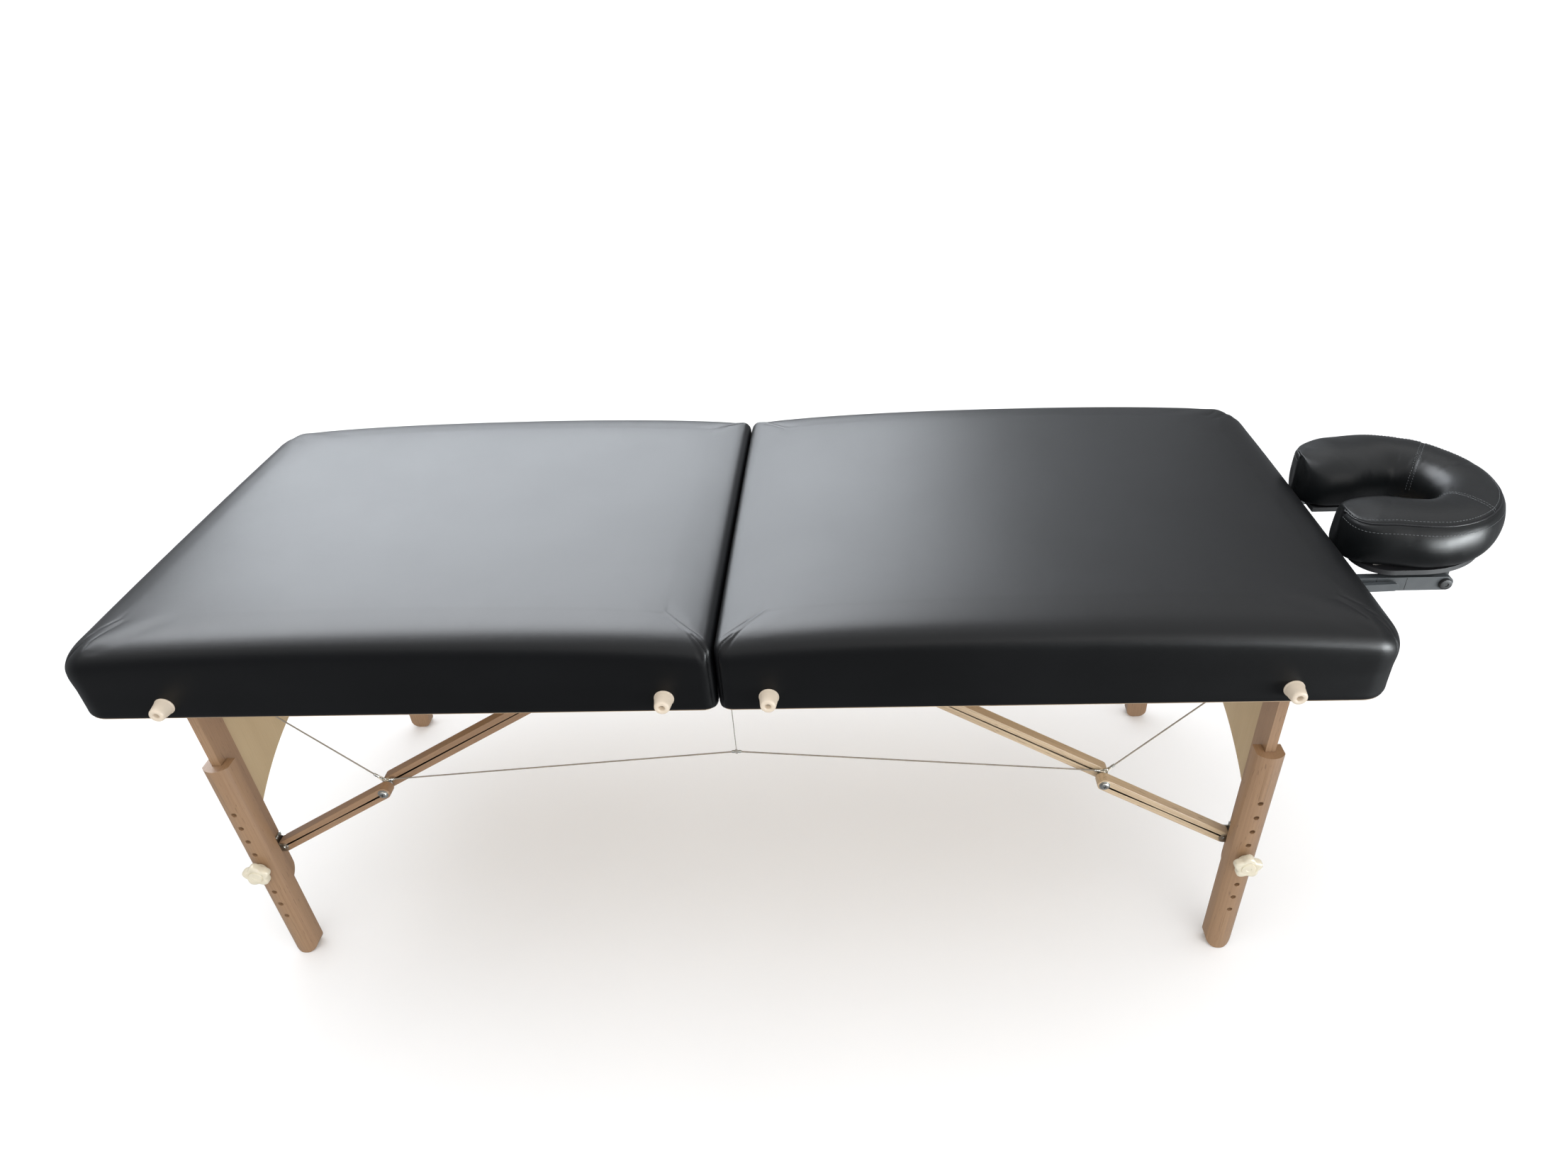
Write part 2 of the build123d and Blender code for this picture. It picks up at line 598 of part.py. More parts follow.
for end in ("foot", "head"):
    save(f"{end}_side_rails", *at_end(end, side_rails()))
    save(f"{end}_cross_rails", *at_end(end, cross_rails()))
    save(f"{end}_deck", *at_end(end, [panel_block(WOOD_INSET, DECK_Z, FOAM_Z)]))
    save(f"{end}_foam", *at_end(end, [foam()]))
    save(f"{end}_outlet_sleeves", *at_end(end, outlet_sleeves()))
    save(f"{end}_cover", *at_end(end, [cover()]))
    save(f"{end}_side_feet", *at_end(end, side_feet()))
    save(f"{end}_handle", *at_end(end, handle()))
    save(f"{end}_hinge_leaf", *at_end(end, [hinge_leaf(end)]))
    save(f"{end}_brace_brackets", *at_end(end, brace_brackets()))
    save(f"{end}_leg_pivots", *at_end(end, leg_pivots()))
    save(f"{end}_upper_legs", *at_end(end, upper_legs()))
    save(f"{end}_end_plate", *at_end(end, [end_plate()]))
    save(f"{end}_brace_lugs", *at_end(end, brace_lugs()))
    save(f"{end}_leg_studs", *at_end(end, leg_studs()))
    save(f"{end}_upper_braces", *at_end(end, upper_braces()))
    save(f"{end}_lower_braces", *at_end(end, lower_braces()))
    save(f"{end}_knuckle_bolts", *at_end(end, knuckle_bolts()))
    save(f"{end}_knuckle_rings", *at_end(end, knuckle_rings()))
    save(f"{end}_outer_cables", *at_end(end, outer_cables()))
    save(f"{end}_centre_cables", *at_end(end, centre_cables()))
    for side, leg, grip in zip(("front", "back"), both_sides(lower_leg()), both_sides(knob())):
        save(f"{end}_{side}_lower_leg", *at_end(end, [leg]))
        save(f"{end}_{side}_knob", *at_end(end, [grip]))

save("hinge_pin", rod_y(0, HINGE_Z, -HINGE_HALF_LENGTH, HINGE_HALF_LENGTH, PIN_R))
save("drop_cords", *drop_cords())
save("cradle_dowels", *cradle_dowels())
save("cradle_crossbar", cradle_crossbar())
save("cradle_arms", cradle_arms())
save("cradle_platform", cradle_platform())
save("cradle_cushion", cradle_cushion())
save("cam_lever", cam_lever())
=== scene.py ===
"""Looks for the portable massage table: covers, face cushion, cords and hardware detail around the fixed frame."""
import json
import math

import bmesh
import bpy
import numpy as np
from mathutils import Matrix, Vector, noise
from mathutils.bvhtree import BVHTree


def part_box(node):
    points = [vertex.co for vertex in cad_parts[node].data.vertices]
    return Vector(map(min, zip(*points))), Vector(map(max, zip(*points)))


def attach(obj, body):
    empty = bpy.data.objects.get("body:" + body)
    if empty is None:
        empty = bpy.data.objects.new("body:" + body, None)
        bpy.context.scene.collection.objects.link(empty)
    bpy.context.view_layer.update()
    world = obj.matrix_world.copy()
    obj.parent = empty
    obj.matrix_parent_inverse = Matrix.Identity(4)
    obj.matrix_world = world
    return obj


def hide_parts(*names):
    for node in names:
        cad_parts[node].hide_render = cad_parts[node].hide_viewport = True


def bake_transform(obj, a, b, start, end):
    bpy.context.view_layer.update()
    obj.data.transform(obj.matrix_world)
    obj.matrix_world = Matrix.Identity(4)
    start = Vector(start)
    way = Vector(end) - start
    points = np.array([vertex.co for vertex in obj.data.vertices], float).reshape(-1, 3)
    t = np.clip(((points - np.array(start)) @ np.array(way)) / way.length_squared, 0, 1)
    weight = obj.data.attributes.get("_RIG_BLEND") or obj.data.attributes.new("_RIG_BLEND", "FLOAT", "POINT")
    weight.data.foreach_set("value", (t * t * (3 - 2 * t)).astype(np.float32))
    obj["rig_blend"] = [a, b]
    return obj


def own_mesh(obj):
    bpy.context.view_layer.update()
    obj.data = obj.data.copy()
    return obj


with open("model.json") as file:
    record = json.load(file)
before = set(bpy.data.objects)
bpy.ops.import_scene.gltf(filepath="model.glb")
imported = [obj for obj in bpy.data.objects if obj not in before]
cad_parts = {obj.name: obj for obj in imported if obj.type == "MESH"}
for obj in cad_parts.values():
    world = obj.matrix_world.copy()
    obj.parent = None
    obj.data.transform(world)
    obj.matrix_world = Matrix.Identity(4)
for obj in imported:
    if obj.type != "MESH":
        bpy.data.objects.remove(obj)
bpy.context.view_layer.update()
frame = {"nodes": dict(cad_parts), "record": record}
NODES = frame["nodes"]
BODY = {n: b for b, ns in frame["record"]["behaviour"]["bodies"].items() for n in ns}
SCENE = bpy.context.scene

# Everything below is measured from the hinge line, like the CAD source
pin_low, pin_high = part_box("hinge_pin")
HINGE_X = (pin_low.x + pin_high.x) / 2
ENDS = {"head": 1, "foot": -1}


def at(x, y, z, side=1):
    """A point given in millimetres from the hinge line, in the row frame."""
    return Vector((HINGE_X + side * x / 1000, y / 1000, z / 1000))


# ---------------------------------------------------------------- camera
def make_camera():
    data = bpy.data.cameras.new("camera")
    data.sensor_width = 36
    data.lens = 22.68
    data.shift_x = -0.0224
    data.shift_y = -0.0204
    data.clip_start = 0.05
    data.clip_end = 100
    cam = bpy.data.objects.new("camera", data)
    SCENE.collection.objects.link(cam)
    yaw, pitch, roll = (math.radians(a) for a in (-2.76, -33.32, -2.74))
    ahead = Vector((math.sin(yaw) * math.cos(pitch), math.cos(yaw) * math.cos(pitch), math.sin(pitch)))
    right = Vector((math.cos(yaw), -math.sin(yaw), 0))
    up = right.cross(ahead)
    r = right * math.cos(roll) + up * math.sin(roll)
    u = up * math.cos(roll) - right * math.sin(roll)
    turn = Matrix((r, u, -ahead)).transposed().to_4x4()
    cam.matrix_world = Matrix.Translation(at(201.2, -1385.7, 1542.5)) @ turn
    SCENE.camera = cam


make_camera()


# ---------------------------------------------------------------- materials
class Surface:
    """A small helper for building one procedural material."""

    def __init__(self, name, roughness=0.5, metallic=0.0, ior=1.5, specular=0.5):
        self.mat = bpy.data.materials.new(name)
        self.mat.use_nodes = True
        self.tree = self.mat.node_tree
        self.bsdf = self.tree.nodes["Principled BSDF"]
        self.bsdf.inputs["Roughness"].default_value = roughness
        self.bsdf.inputs["Metallic"].default_value = metallic
        self.bsdf.inputs["IOR"].default_value = ior
        self.bsdf.inputs["Specular IOR Level"].default_value = specular
        self.place = self.tree.nodes.new("ShaderNodeTexCoord").outputs["Object"]

    def node(self, kind, values=None, **settings):
        n = self.tree.nodes.new("ShaderNode" + kind)
        for key, value in settings.items():
            setattr(n, key, value)
        for key, value in (values or {}).items():
            if hasattr(value, "is_output"):
                self.tree.links.new(value, n.inputs[key])
            else:
                n.inputs[key].default_value = value
        return n

    def mapped(self, source, scale=(1, 1, 1), rotation=(0, 0, 0), shift=(0, 0, 0)):
        values = {"Vector": source, "Scale": scale, "Rotation": rotation, "Location": shift}
        return self.node("Mapping", values).outputs["Vector"]

    def noise(self, source, scale, detail=2.0, distortion=0.0, roughness=0.5):
        values = {"Vector": source, "Scale": scale, "Detail": detail, "Distortion": distortion, "Roughness": roughness}
        return self.node("TexNoise", values).outputs["Fac"]

    def ramp(self, fac, *stops):
        n = self.node("ValToRGB", {"Fac": fac})
        ramp = n.color_ramp
        while len(ramp.elements) < len(stops):
            ramp.elements.new(0.5)
        for element, (place, colour) in zip(ramp.elements, stops):
            element.position = place
            element.color = (*colour, 1) if hasattr(colour, "__len__") else (colour, colour, colour, 1)
        return n.outputs["Color"]

    def math(self, operation, a, b=0.5):
        return self.node("Math", {0: a, 1: b}, operation=operation).outputs[0]

    def mix(self, fac, a, b, blend="MIX"):
        n = self.node("Mix", data_type="RGBA", blend_type=blend)
        for index, value in ((0, fac), (6, a), (7, b)):
            if hasattr(value, "is_output"):
                self.tree.links.new(value, n.inputs[index])
            else:
                n.inputs[index].default_value = (*value, 1) if hasattr(value, "__len__") else value
        return n.outputs[2]

    def colour(self, value):
        if hasattr(value, "is_output"):
            self.tree.links.new(value, self.bsdf.inputs["Base Color"])
        else:
            self.bsdf.inputs["Base Color"].default_value = (*value, 1)
        return self

    def rough(self, source, low, high):
        n = self.node("MapRange", {"Value": source, "To Min": low, "To Max": high})
        self.tree.links.new(n.outputs["Result"], self.bsdf.inputs["Roughness"])
        return self

    def bump(self, height, strength, distance, below=None):
        values = {"Height": height, "Strength": strength, "Distance": distance}
        if below is not None:
            values["Normal"] = below
        return self.node("Bump", values).outputs["Normal"]

    def normal(self, source):
        self.tree.links.new(source, self.bsdf.inputs["Normal"])
        return self


def vinyl(name, base, rough=(0.34, 0.44), pebble=1000.0, strength=0.35, specular=0.2):
    """Satin upholstery vinyl with a fine pebbled grain and soft, wide unevenness."""
    s = Surface(name, rough[0], specular=specular)
    broad = s.noise(s.place, 7.0, 3.0)
    fine = s.noise(s.place, 260.0, 3.0)
    low = [c * 0.82 for c in base]
    high = [min(1, c * 1.25) for c in base]
    s.colour(s.ramp(broad, (0.3, low), (0.7, high)))
    s.rough(s.math("ADD", s.math("MULTIPLY", broad, 0.6), s.math("MULTIPLY", fine, 0.4)), *rough)
    cells = s.node("TexVoronoi", {"Vector": s.place, "Scale": pebble, "Randomness": 1.0}, feature="DISTANCE_TO_EDGE")
    grain = s.ramp(cells.outputs["Distance"], (0.0, 0.0), (0.16, 1.0))
    soft = s.bump(broad, 0.12, 0.004)
    s.normal(s.bump(grain, strength, 0.00007, s.bump(fine, 0.18, 0.0002, soft)))
    return s.mat


def wood(name, light, dark, turn=(0, 0, 0), seed=0.0, rough=(0.36, 0.5), figure=0.6):
    """Lacquered beech whose grain runs along local Z once turned: figure, fine lines and short dark flecks."""
    s = Surface(name, rough[0])
    along = s.mapped(s.place, rotation=turn, shift=(seed, seed * 0.7, seed * 0.3))
    wide = s.noise(s.mapped(along, (9, 9, 0.9)), 1.0, 3.0, 0.6)
    bands = s.node("TexWave", {"Vector": s.mapped(along, (60, 34, 1.3)), "Scale": 1.0, "Distortion": 5.0,
                               "Detail": 3.0, "Detail Scale": 0.9}, wave_type="BANDS").outputs["Fac"]
    lines = s.noise(s.mapped(along, (900, 900, 9)), 1.0, 2.0)
    fleck = s.noise(s.mapped(along, (520, 520, 52)), 1.0, 1.0)
    middle = [(a + b) / 2 for a, b in zip(light, dark)]
    ground = s.ramp(wide, (0.25, middle), (0.62, light), (0.9, [min(1, c * 1.07) for c in light]))
    streak = s.mix(s.math("MULTIPLY", bands, 0.34 * figure), ground, dark)
    fine = s.mix(s.math("MULTIPLY", s.ramp(lines, (0.42, 0.0), (0.75, 1.0)), 0.42), streak, dark)
    marks = s.ramp(fleck, (0.66, 0.0), (0.74, 1.0))
    s.colour(s.mix(s.math("MULTIPLY", marks, 0.5), fine, [c * 0.62 for c in dark]))
    s.rough(lines, *rough)
    s.bsdf.inputs["Coat Weight"].default_value = 0.15
    s.bsdf.inputs["Coat Roughness"].default_value = 0.28
    s.normal(s.bump(marks, 0.25, -0.0001, s.bump(lines, 0.22, 0.00012)))
    return s.mat


def plywood(name, light, dark, thin_axis, ply=0.0015, turn=(0, 0, 0)):
    """Pale rotary-cut face veneer, with the plies showing on the edges."""
    s = Surface(name, 0.45)
    along = s.mapped(s.place, rotation=turn)
    wide = s.noise(s.mapped(along, (5, 5, 1.0)), 1.0, 4.0, 1.4)
    bands = s.node("TexWave", {"Vector": s.mapped(along, (16, 16, 0.8)), "Scale": 1.0, "Distortion": 9.0,
                               "Detail": 3.0, "Detail Scale": 0.7}, wave_type="BANDS").outputs["Fac"]
    lines = s.noise(s.mapped(along, (700, 700, 11)), 1.0, 2.0)
    face = s.ramp(wide, (0.25, dark), (0.7, light))
    face = s.mix(s.math("MULTIPLY", bands, 0.28), face, dark)
    face = s.mix(s.math("MULTIPLY", s.ramp(lines, (0.45, 0.0), (0.8, 1.0)), 0.35), face, dark)
    split = s.node("SeparateXYZ", {"Vector": s.place})
    across = s.math("FRACT", s.math("MULTIPLY", split.outputs[thin_axis], 1 / (2 * ply)))
    layers = s.ramp(across, (0.42, [c * 0.9 for c in light]), (0.5, [c * 0.5 for c in dark]), (0.93, [c * 0.55 for c in dark]), (1.0, light))
    facing = s.node("SeparateXYZ", {"Vector": s.node("NewGeometry").outputs["Normal"]})
    flat = s.math("GREATER_THAN", s.math("ABSOLUTE", facing.outputs[thin_axis], 0), 0.7)
    s.colour(s.mix(flat, layers, face))
    s.rough(lines, 0.38, 0.55)
    s.normal(s.bump(lines, 0.2, 0.0001))
    return s.mat


def plastic(name, base, rough=(0.35, 0.5), grain=1400.0, strength=0.25, specks=0.08):
    """Moulded plastic or rubber: a fine spark texture and slight mottling."""
    s = Surface(name, rough[0])
    broad = s.noise(s.place, 40.0, 4.0)
    fine = s.noise(s.place, grain, 2.0)
    s.colour(s.ramp(broad, (0.25, [c * (1 - specks) for c in base]), (0.75, [min(1, c * (1 + specks)) for c in base])))
    s.rough(s.math("ADD", s.math("MULTIPLY", broad, 0.5), s.math("MULTIPLY", fine, 0.5)), *rough)
    s.normal(s.bump(fine, strength, 0.00006))
    return s.mat


def metal(name, base, rough=(0.22, 0.42), brushed=(1, 1, 1), strength=0.2):
    """Plated or drawn metal with handling marks."""
    s = Surface(name, rough[0], 1.0)
    lines = s.noise(s.mapped(s.place, brushed), 500.0, 3.0)
    marks = s.noise(s.place, 55.0, 5.0, 0.5, 0.65)
    s.colour(s.ramp(marks, (0.3, [c * 0.72 for c in base]), (0.6, base)))
    s.rough(s.math("ADD", s.math("MULTIPLY", marks, 0.6), s.math("MULTIPLY", lines, 0.4)), *rough)
    s.normal(s.bump(lines, strength, 0.00005))
    return s.mat


BEECH = (0.365, 0.222, 0.120)
BEECH_DARK = (0.235, 0.128, 0.065)
PALE = (0.62, 0.48, 0.31)
BRACE_SLOPE = math.atan2(237 - 650, 790 - 101)
M = {
    "vinyl": vinyl("vinyl", (0.0020, 0.0022, 0.0028)),
    "cushion": vinyl("cushion_vinyl", (0.0045, 0.0052, 0.0058), (0.26, 0.38), 820.0, 0.5, 0.2),
    "thread": plastic("thread", (0.11, 0.12, 0.125), (0.5, 0.7), 2500.0, 0.5),
    "piping": vinyl("piping_vinyl", (0.012, 0.0125, 0.014), (0.26, 0.36), 1500.0, 0.3),
    "leg": wood("leg_wood", BEECH, BEECH_DARK, seed=0.3),
    "board": wood("board_wood", [c * 1.06 for c in BEECH], BEECH_DARK, seed=1.7, figure=0.8),
    # the braces are one beech at both ends: the head braces take a pale tone, and the foot braces, on the left in view,
    # a darker copy as painted shade
    "brace_head": wood("brace_wood_head", [c * 1.05 for c in PALE], BEECH_DARK, (0, BRACE_SLOPE - math.pi / 2, 0), 3.1),
    "brace_foot": wood("brace_wood_foot", BEECH, BEECH_DARK, (0, -BRACE_SLOPE - math.pi / 2, 0), 4.6),
    "rail_x": wood("rail_wood_long", PALE, BEECH_DARK, (0, math.pi / 2, 0), 5.2, figure=0.9),
    "rail_y": wood("rail_wood_cross", PALE, BEECH_DARK, (math.pi / 2, 0, 0), 6.4, figure=0.9),
    "plate": plywood("end_plywood", (0.60, 0.465, 0.275), (0.48, 0.345, 0.185), 0),
    "deck": plywood("deck_plywood", (0.60, 0.47, 0.31), (0.46, 0.33, 0.19), 2, turn=(0, math.pi / 2, 0)),
    "rubber": plastic("cream_rubber", (0.66, 0.56, 0.44), (0.5, 0.68), 900.0, 0.4),
    "cream": plastic("cream_plastic", (0.70, 0.64, 0.50), (0.32, 0.45)),
    "black": plastic("black_plastic", (0.018, 0.018, 0.02), (0.38, 0.55), specks=0.2),
    "grey": plastic("grey_plastic", (0.075, 0.085, 0.092), (0.34, 0.5), 1100.0, 0.4, 0.15),
    "steel": metal("zinc_steel", (0.55, 0.55, 0.52)),
    # dark steel used only as painted shade in the screws' cross recesses
    "recess_shade_steel": metal("recess_shade_steel", (0.16, 0.15, 0.14), (0.35, 0.5)),
    "alloy": metal("drawn_alloy", (0.72, 0.73, 0.74), (0.28, 0.4), (0.02, 1, 1)),
    "wire": plastic("coated_wire", (0.29, 0.25, 0.20), (0.32, 0.45), 3000.0, 0.4, 0.2),
    "cord": plastic("woven_cord", (0.34, 0.325, 0.29), (0.6, 0.8), 2600.0, 0.8),
    "coat": plastic("clear_sleeve", (0.74, 0.68, 0.55), (0.25, 0.35)),
}


# ---------------------------------------------------------------- mesh helpers
def make(name, verts, faces, mat, smooth=True):
    mesh = bpy.data.meshes.new(name)
    mesh.from_pydata([tuple(v) for v in verts], [], faces)
    mesh.validate()
    mesh.materials.append(mat)
    mesh.polygons.foreach_set("use_smooth", [smooth] * len(mesh.polygons))
    obj = bpy.data.objects.new(name, mesh)
    SCENE.collection.objects.link(obj)
    return obj


def across(points, closed=False):
    """Two directions square to a line at each of its points, carried along without twisting."""
    n = len(points)
    frames = []
    side = None
    for i, p in enumerate(points):
        before = points[i - 1] if i or closed else p
        after = points[(i + 1) % n] if i < n - 1 or closed else p
        ahead = (after - before).normalized()
        if side is None:
            guess = Vector((0, 0, 1)) if abs(ahead.z) < 0.9 else Vector((0, 1, 0))
            side = ahead.cross(guess).normalized()
        side = (side - ahead * side.dot(ahead)).normalized()
        frames.append((side, ahead.cross(side), ahead))
    return frames


def tube_data(points, radius, sides=10, closed=False, twist=0.0, strands=0, start=0):
    """Vertices and faces of a round tube; strands and twist give it the lay of a wire rope."""
    verts, faces = [], []
    run = 0.0
    frames = across(points, closed)
    n = len(points)
    for i, (p, (a, b, _)) in enumerate(zip(points, frames)):
        if i:
            run += (p - points[i - 1]).length
        r0 = radius[i] if hasattr(radius, "__len__") else radius
        for k in range(sides):
            t = 2 * math.pi * k / sides
            r = r0
            if strands:
                r = r0 * (0.8 + 0.2 * abs(math.cos(strands / 2 * (t - 2 * math.pi * run / twist))))
            verts.append(p + (a * math.cos(t) + b * math.sin(t)) * r)
    for i in range(n if closed else n - 1):
        j = (i + 1) % n
        for k in range(sides):
            m = (k + 1) % sides
            faces.append([start + i * sides + k, start + i * sides + m, start + j * sides + m, start + j * sides + k])
    if not closed:
        faces.append([start + k for k in reversed(range(sides))])
        faces.append([start + (n - 1) * sides + k for k in range(sides)])
    return verts, faces


def tube(name, points, radius, mat, **kind):
    return make(name, *tube_data(points, radius, **kind), mat)


def many_tubes(name, lines, radius, mat, sides=6):
    verts, faces = [], []
    for line in lines:
        v, f = tube_data(line, radius, sides, start=len(verts))
        verts += v
        faces += f
    return make(name, verts, faces, mat)


def lathe(name, profile, origin, axis, mat, sides=40):
    """A turned shape: profile pairs are (distance along axis, radius) in millimetres."""
    axis = Vector(axis).normalized()
    guess = Vector((0, 0, 1)) if abs(axis.z) < 0.9 else Vector((1, 0, 0))
    a = axis.cross(guess).normalized()
    b = axis.cross(a)
    verts, faces = [], []
    for d, r in profile:
        for k in range(sides):
            t = 2 * math.pi * k / sides
            verts.append(origin + axis * d / 1000 + (a * math.cos(t) + b * math.sin(t)) * max(r, 0.01) / 1000)
    for i in range(len(profile) - 1):
        for k in range(sides):
            m = (k + 1) % sides
            faces.append([i * sides + k, i * sides + m, (i + 1) * sides + m, (i + 1) * sides + k])
    faces.append([k for k in reversed(range(sides))])
    faces.append([(len(profile) - 1) * sides + k for k in range(sides)])
    obj = make(name, verts, faces, mat)
    fix_normals(obj)
    return obj


def fix_normals(obj):
    bm = bmesh.new()
    bm.from_mesh(obj.data)
    bmesh.ops.recalc_face_normals(bm, faces=bm.faces)
    bm.to_mesh(obj.data)
    bm.free()


def sharpen(obj, degrees=35):
    obj.data.set_sharp_from_angle(angle=math.radians(degrees))
    return obj


def cross_head(name, origin, axis, radius, height, mat, dark):
    """A pan-head screw as two pieces: the head, and a dark steel cross set just over its top as painted shade for the
    cross recess.
    """
    r = radius
    profile = [(0, r), (height * 0.45, r), (height * 0.75, r * 0.9), (height * 0.93, r * 0.72), (height, r * 0.45), (height, 0)]
    head = sharpen(lathe(name, profile, origin, axis, mat, 28), 50)
    axis = Vector(axis).normalized()
    a = axis.cross(Vector((0.3, 0.1, 1)).normalized()).normalized()
    b = axis.cross(a)
    verts, faces = [], []
    for u, v in ((a, b), (b, a)):
        for level in (0.02, -0.9):
            for s, t in ((-1, -1), (1, -1), (1, 1), (-1, 1)):
                long, wide = (0.52, 0.13) if level > 0 else (0.3, 0.1)
                p = origin + axis * (height + level) / 1000
                verts.append(p + (u * s * long * r + v * t * wide * r) / 1000)
        n = len(verts) - 8
        faces += [[n, n + 1, n + 2, n + 3]]
        faces += [[n + k, n + (k + 1) % 4, n + 4 + (k + 1) % 4, n + 4 + k] for k in range(4)]
    # the recess is not cut: a dark cross-shaped block sits on the head as painted shade
    shaded_recess = make(name + "_recess_painted_shade", verts, faces, dark, False)
    return head, shaded_recess


def join(name, parts):
    bpy.ops.object.select_all(action="DESELECT")
    for p in parts:
        p.select_set(True)
    bpy.context.view_layer.objects.active = parts[0]
    bpy.ops.object.join()
    parts[0].name = name
    parts[0].data.name = name
    return parts[0]


def puff(obj, held, pressure, cap, frames=16):
    """Cloth under pressure: the skin swells between the parts that are held, by no more than about cap."""
    rest = np.array([v.co for v in obj.data.vertices])
    group = obj.vertex_groups.new(name="held")
    for index, weight in held.items():
        group.add([index], weight, "REPLACE")
    cloth = obj.modifiers.new("Cloth", "CLOTH")
    s = cloth.settings
    s.quality = 5
    s.mass = 0.25
    s.tension_stiffness = 18
    s.compression_stiffness = 14
    s.shear_stiffness = 6
    s.bending_stiffness = 0.6
    s.air_damping = 4
    s.use_pressure = True
    s.uniform_pressure_force = pressure
    s.vertex_group_mass = "held"
    s.effector_weights.gravity = 0
    cloth.collision_settings.use_collision = False
    for f in range(1, frames + 1):
        SCENE.frame_set(f)
    dg = bpy.context.evaluated_depsgraph_get()
    shaped = obj.evaluated_get(dg)
    new = np.array([v.co for v in shaped.data.vertices])
    obj.modifiers.clear()
    obj.vertex_groups.clear()
    move = new - rest
    size = np.linalg.norm(move, axis=1, keepdims=True)
    move *= cap / (cap + size)
    obj.data.vertices.foreach_set("co", (rest + move).astype(np.float32).ravel())
    obj.data.update()
    SCENE.frame_set(1)


def subdivide(obj, levels=1):
    mod = obj.modifiers.new("Subdivision", "SUBSURF")
    mod.levels = levels
    mod.render_levels = levels
    dg = bpy.context.evaluated_depsgraph_get()
    mesh = bpy.data.meshes.new_from_object(obj.evaluated_get(dg))
    obj.modifiers.clear()
    obj.data = mesh
    mesh.polygons.foreach_set("use_smooth", [True] * len(mesh.polygons))
    return obj


def surface_tree(obj):
    mesh = obj.data
    return BVHTree.FromPolygons([v.co for v in mesh.vertices], [list(p.vertices) for p in mesh.polygons])


def evenly(points, step):
    """The same line, with points a fixed step apart."""
    runs = [0.0]
    for a, b in zip(points, points[1:]):
        runs.append(runs[-1] + (b - a).length)
    count = max(2, int(runs[-1] / step))
    found, i = [], 0
    for k in range(count + 1):
        d = runs[-1] * k / count
        while i < len(runs) - 2 and runs[i + 1] < d:
            i += 1
        t = (d - runs[i]) / max(runs[i + 1] - runs[i], 1e-9)
        found.append(points[i].lerp(points[i + 1], t))
    return found


def press_line(obj, line, depth, width):
    """Pulls the skin in along a seam."""
    tree_points = np.array([tuple(p) for p in line])
    co = np.array([tuple(v.co) for v in obj.data.vertices])
    normals = np.array([tuple(v.normal) for v in obj.data.vertices])
    low, high = tree_points.min(0) - width, tree_points.max(0) + width
    near = np.where(np.all((co > low) & (co < high), axis=1))[0]
    for i in near:
        d = np.min(np.linalg.norm(tree_points - co[i], axis=1))
        if d < width:
            co[i] -= normals[i] * depth * (1 - d / width) ** 2
    obj.data.vertices.foreach_set("co", co.astype(np.float32).ravel())
    obj.data.update()


def stitches(points, dash, gap, rise, normals):
    """Short raised threads along a line, each dipping in at both ends."""
    lines, k = [], 0
    run = 0.0
    current = []
    for i, p in enumerate(points):
        if i:
            run += (p - points[i - 1]).length
        phase = run % (dash + gap)
        if phase < dash:
            lift = rise * math.sin(math.pi * min(1, phase / dash)) - rise * 0.3
            current.append(p + normals[i] * lift)
        elif current:
            if len(current) > 2:
                lines.append(current)
            current = []
    return lines


# ---------------------------------------------------------------- table covers
LENGTH, HALF, TOP, BOTTOM = 927.0, 355.5, 736.6, 609.0
END_R, SEAM_R = 45.0, 20.0
CORNER_STEPS = 6
STEPS_X, STEPS_Y = 46, 36


def ring(inset):
    """A loop round the panel at an inset, with a direction pointing outwards at each point (head end)."""
    points = []
    x0, x1 = 0.75 + inset, LENGTH - inset
    y1 = HALF - inset
    outer = max(END_R - inset * 0.55, 16.0)
    inner = max(SEAM_R - inset * 0.3, 8.0)
    corners = [
        ((x0 + inner, -y1 + inner), inner, 180, 270),
        ((x1 - outer, -y1 + outer), outer, 270, 360),
        ((x1 - outer, y1 - outer), outer, 0, 90),
        ((x0 + inner, y1 - inner), inner, 90, 180),
    ]
    straights = [STEPS_X, STEPS_Y, STEPS_X, STEPS_Y]
    for c in range(4):
        (cx, cy), r, a0, a1 = corners[c]
        half = CORNER_STEPS
        for k in range(half, 2 * half + 1):
            a = math.radians(a0 + (a1 - a0) * k / (2 * half))
            points.append((cx + r * math.cos(a), cy + r * math.sin(a), math.cos(a), math.sin(a)))
        (nx, ny), nr, b0, b1 = corners[(c + 1) % 4]
        start = points[-1]
        a = math.radians(b0)
        stop = (nx + nr * math.cos(a), ny + nr * math.sin(a), math.cos(a), math.sin(a))
        for k in range(1, straights[c]):
            t = k / straights[c]
            points.append(tuple(start[i] + (stop[i] - start[i]) * t for i in range(4)))
        for k in range(0, half):
            a = math.radians(b0 + (b1 - b0) * k / (2 * half))
            points.append((nx + nr * math.cos(a), ny + nr * math.sin(a), math.cos(a), math.sin(a)))
    return points


def smooth(t):
    t = min(1.0, max(0.0, t))
    return t * t * (3 - 2 * t)


def edge_radius(nx):
    """How wide the top edge rolls over: widest at the outer end, tight at the seam."""
    return 24.0 + 18.0 * (1 - smooth((-nx - 0.3) / 0.6)) + 12.0 * smooth(nx)


def crown(x, y):
    """The pillow shape of the whole panel: highest in the middle, lower towards every edge."""
    t, u = abs(2 * x / LENGTH - 1), abs(y / HALF)
    along = 16.0 * t ** 2.3 + 4.0 * t ** 9
    over = 5.0 * u ** 2.6
    return TOP + 8.0 - along - over


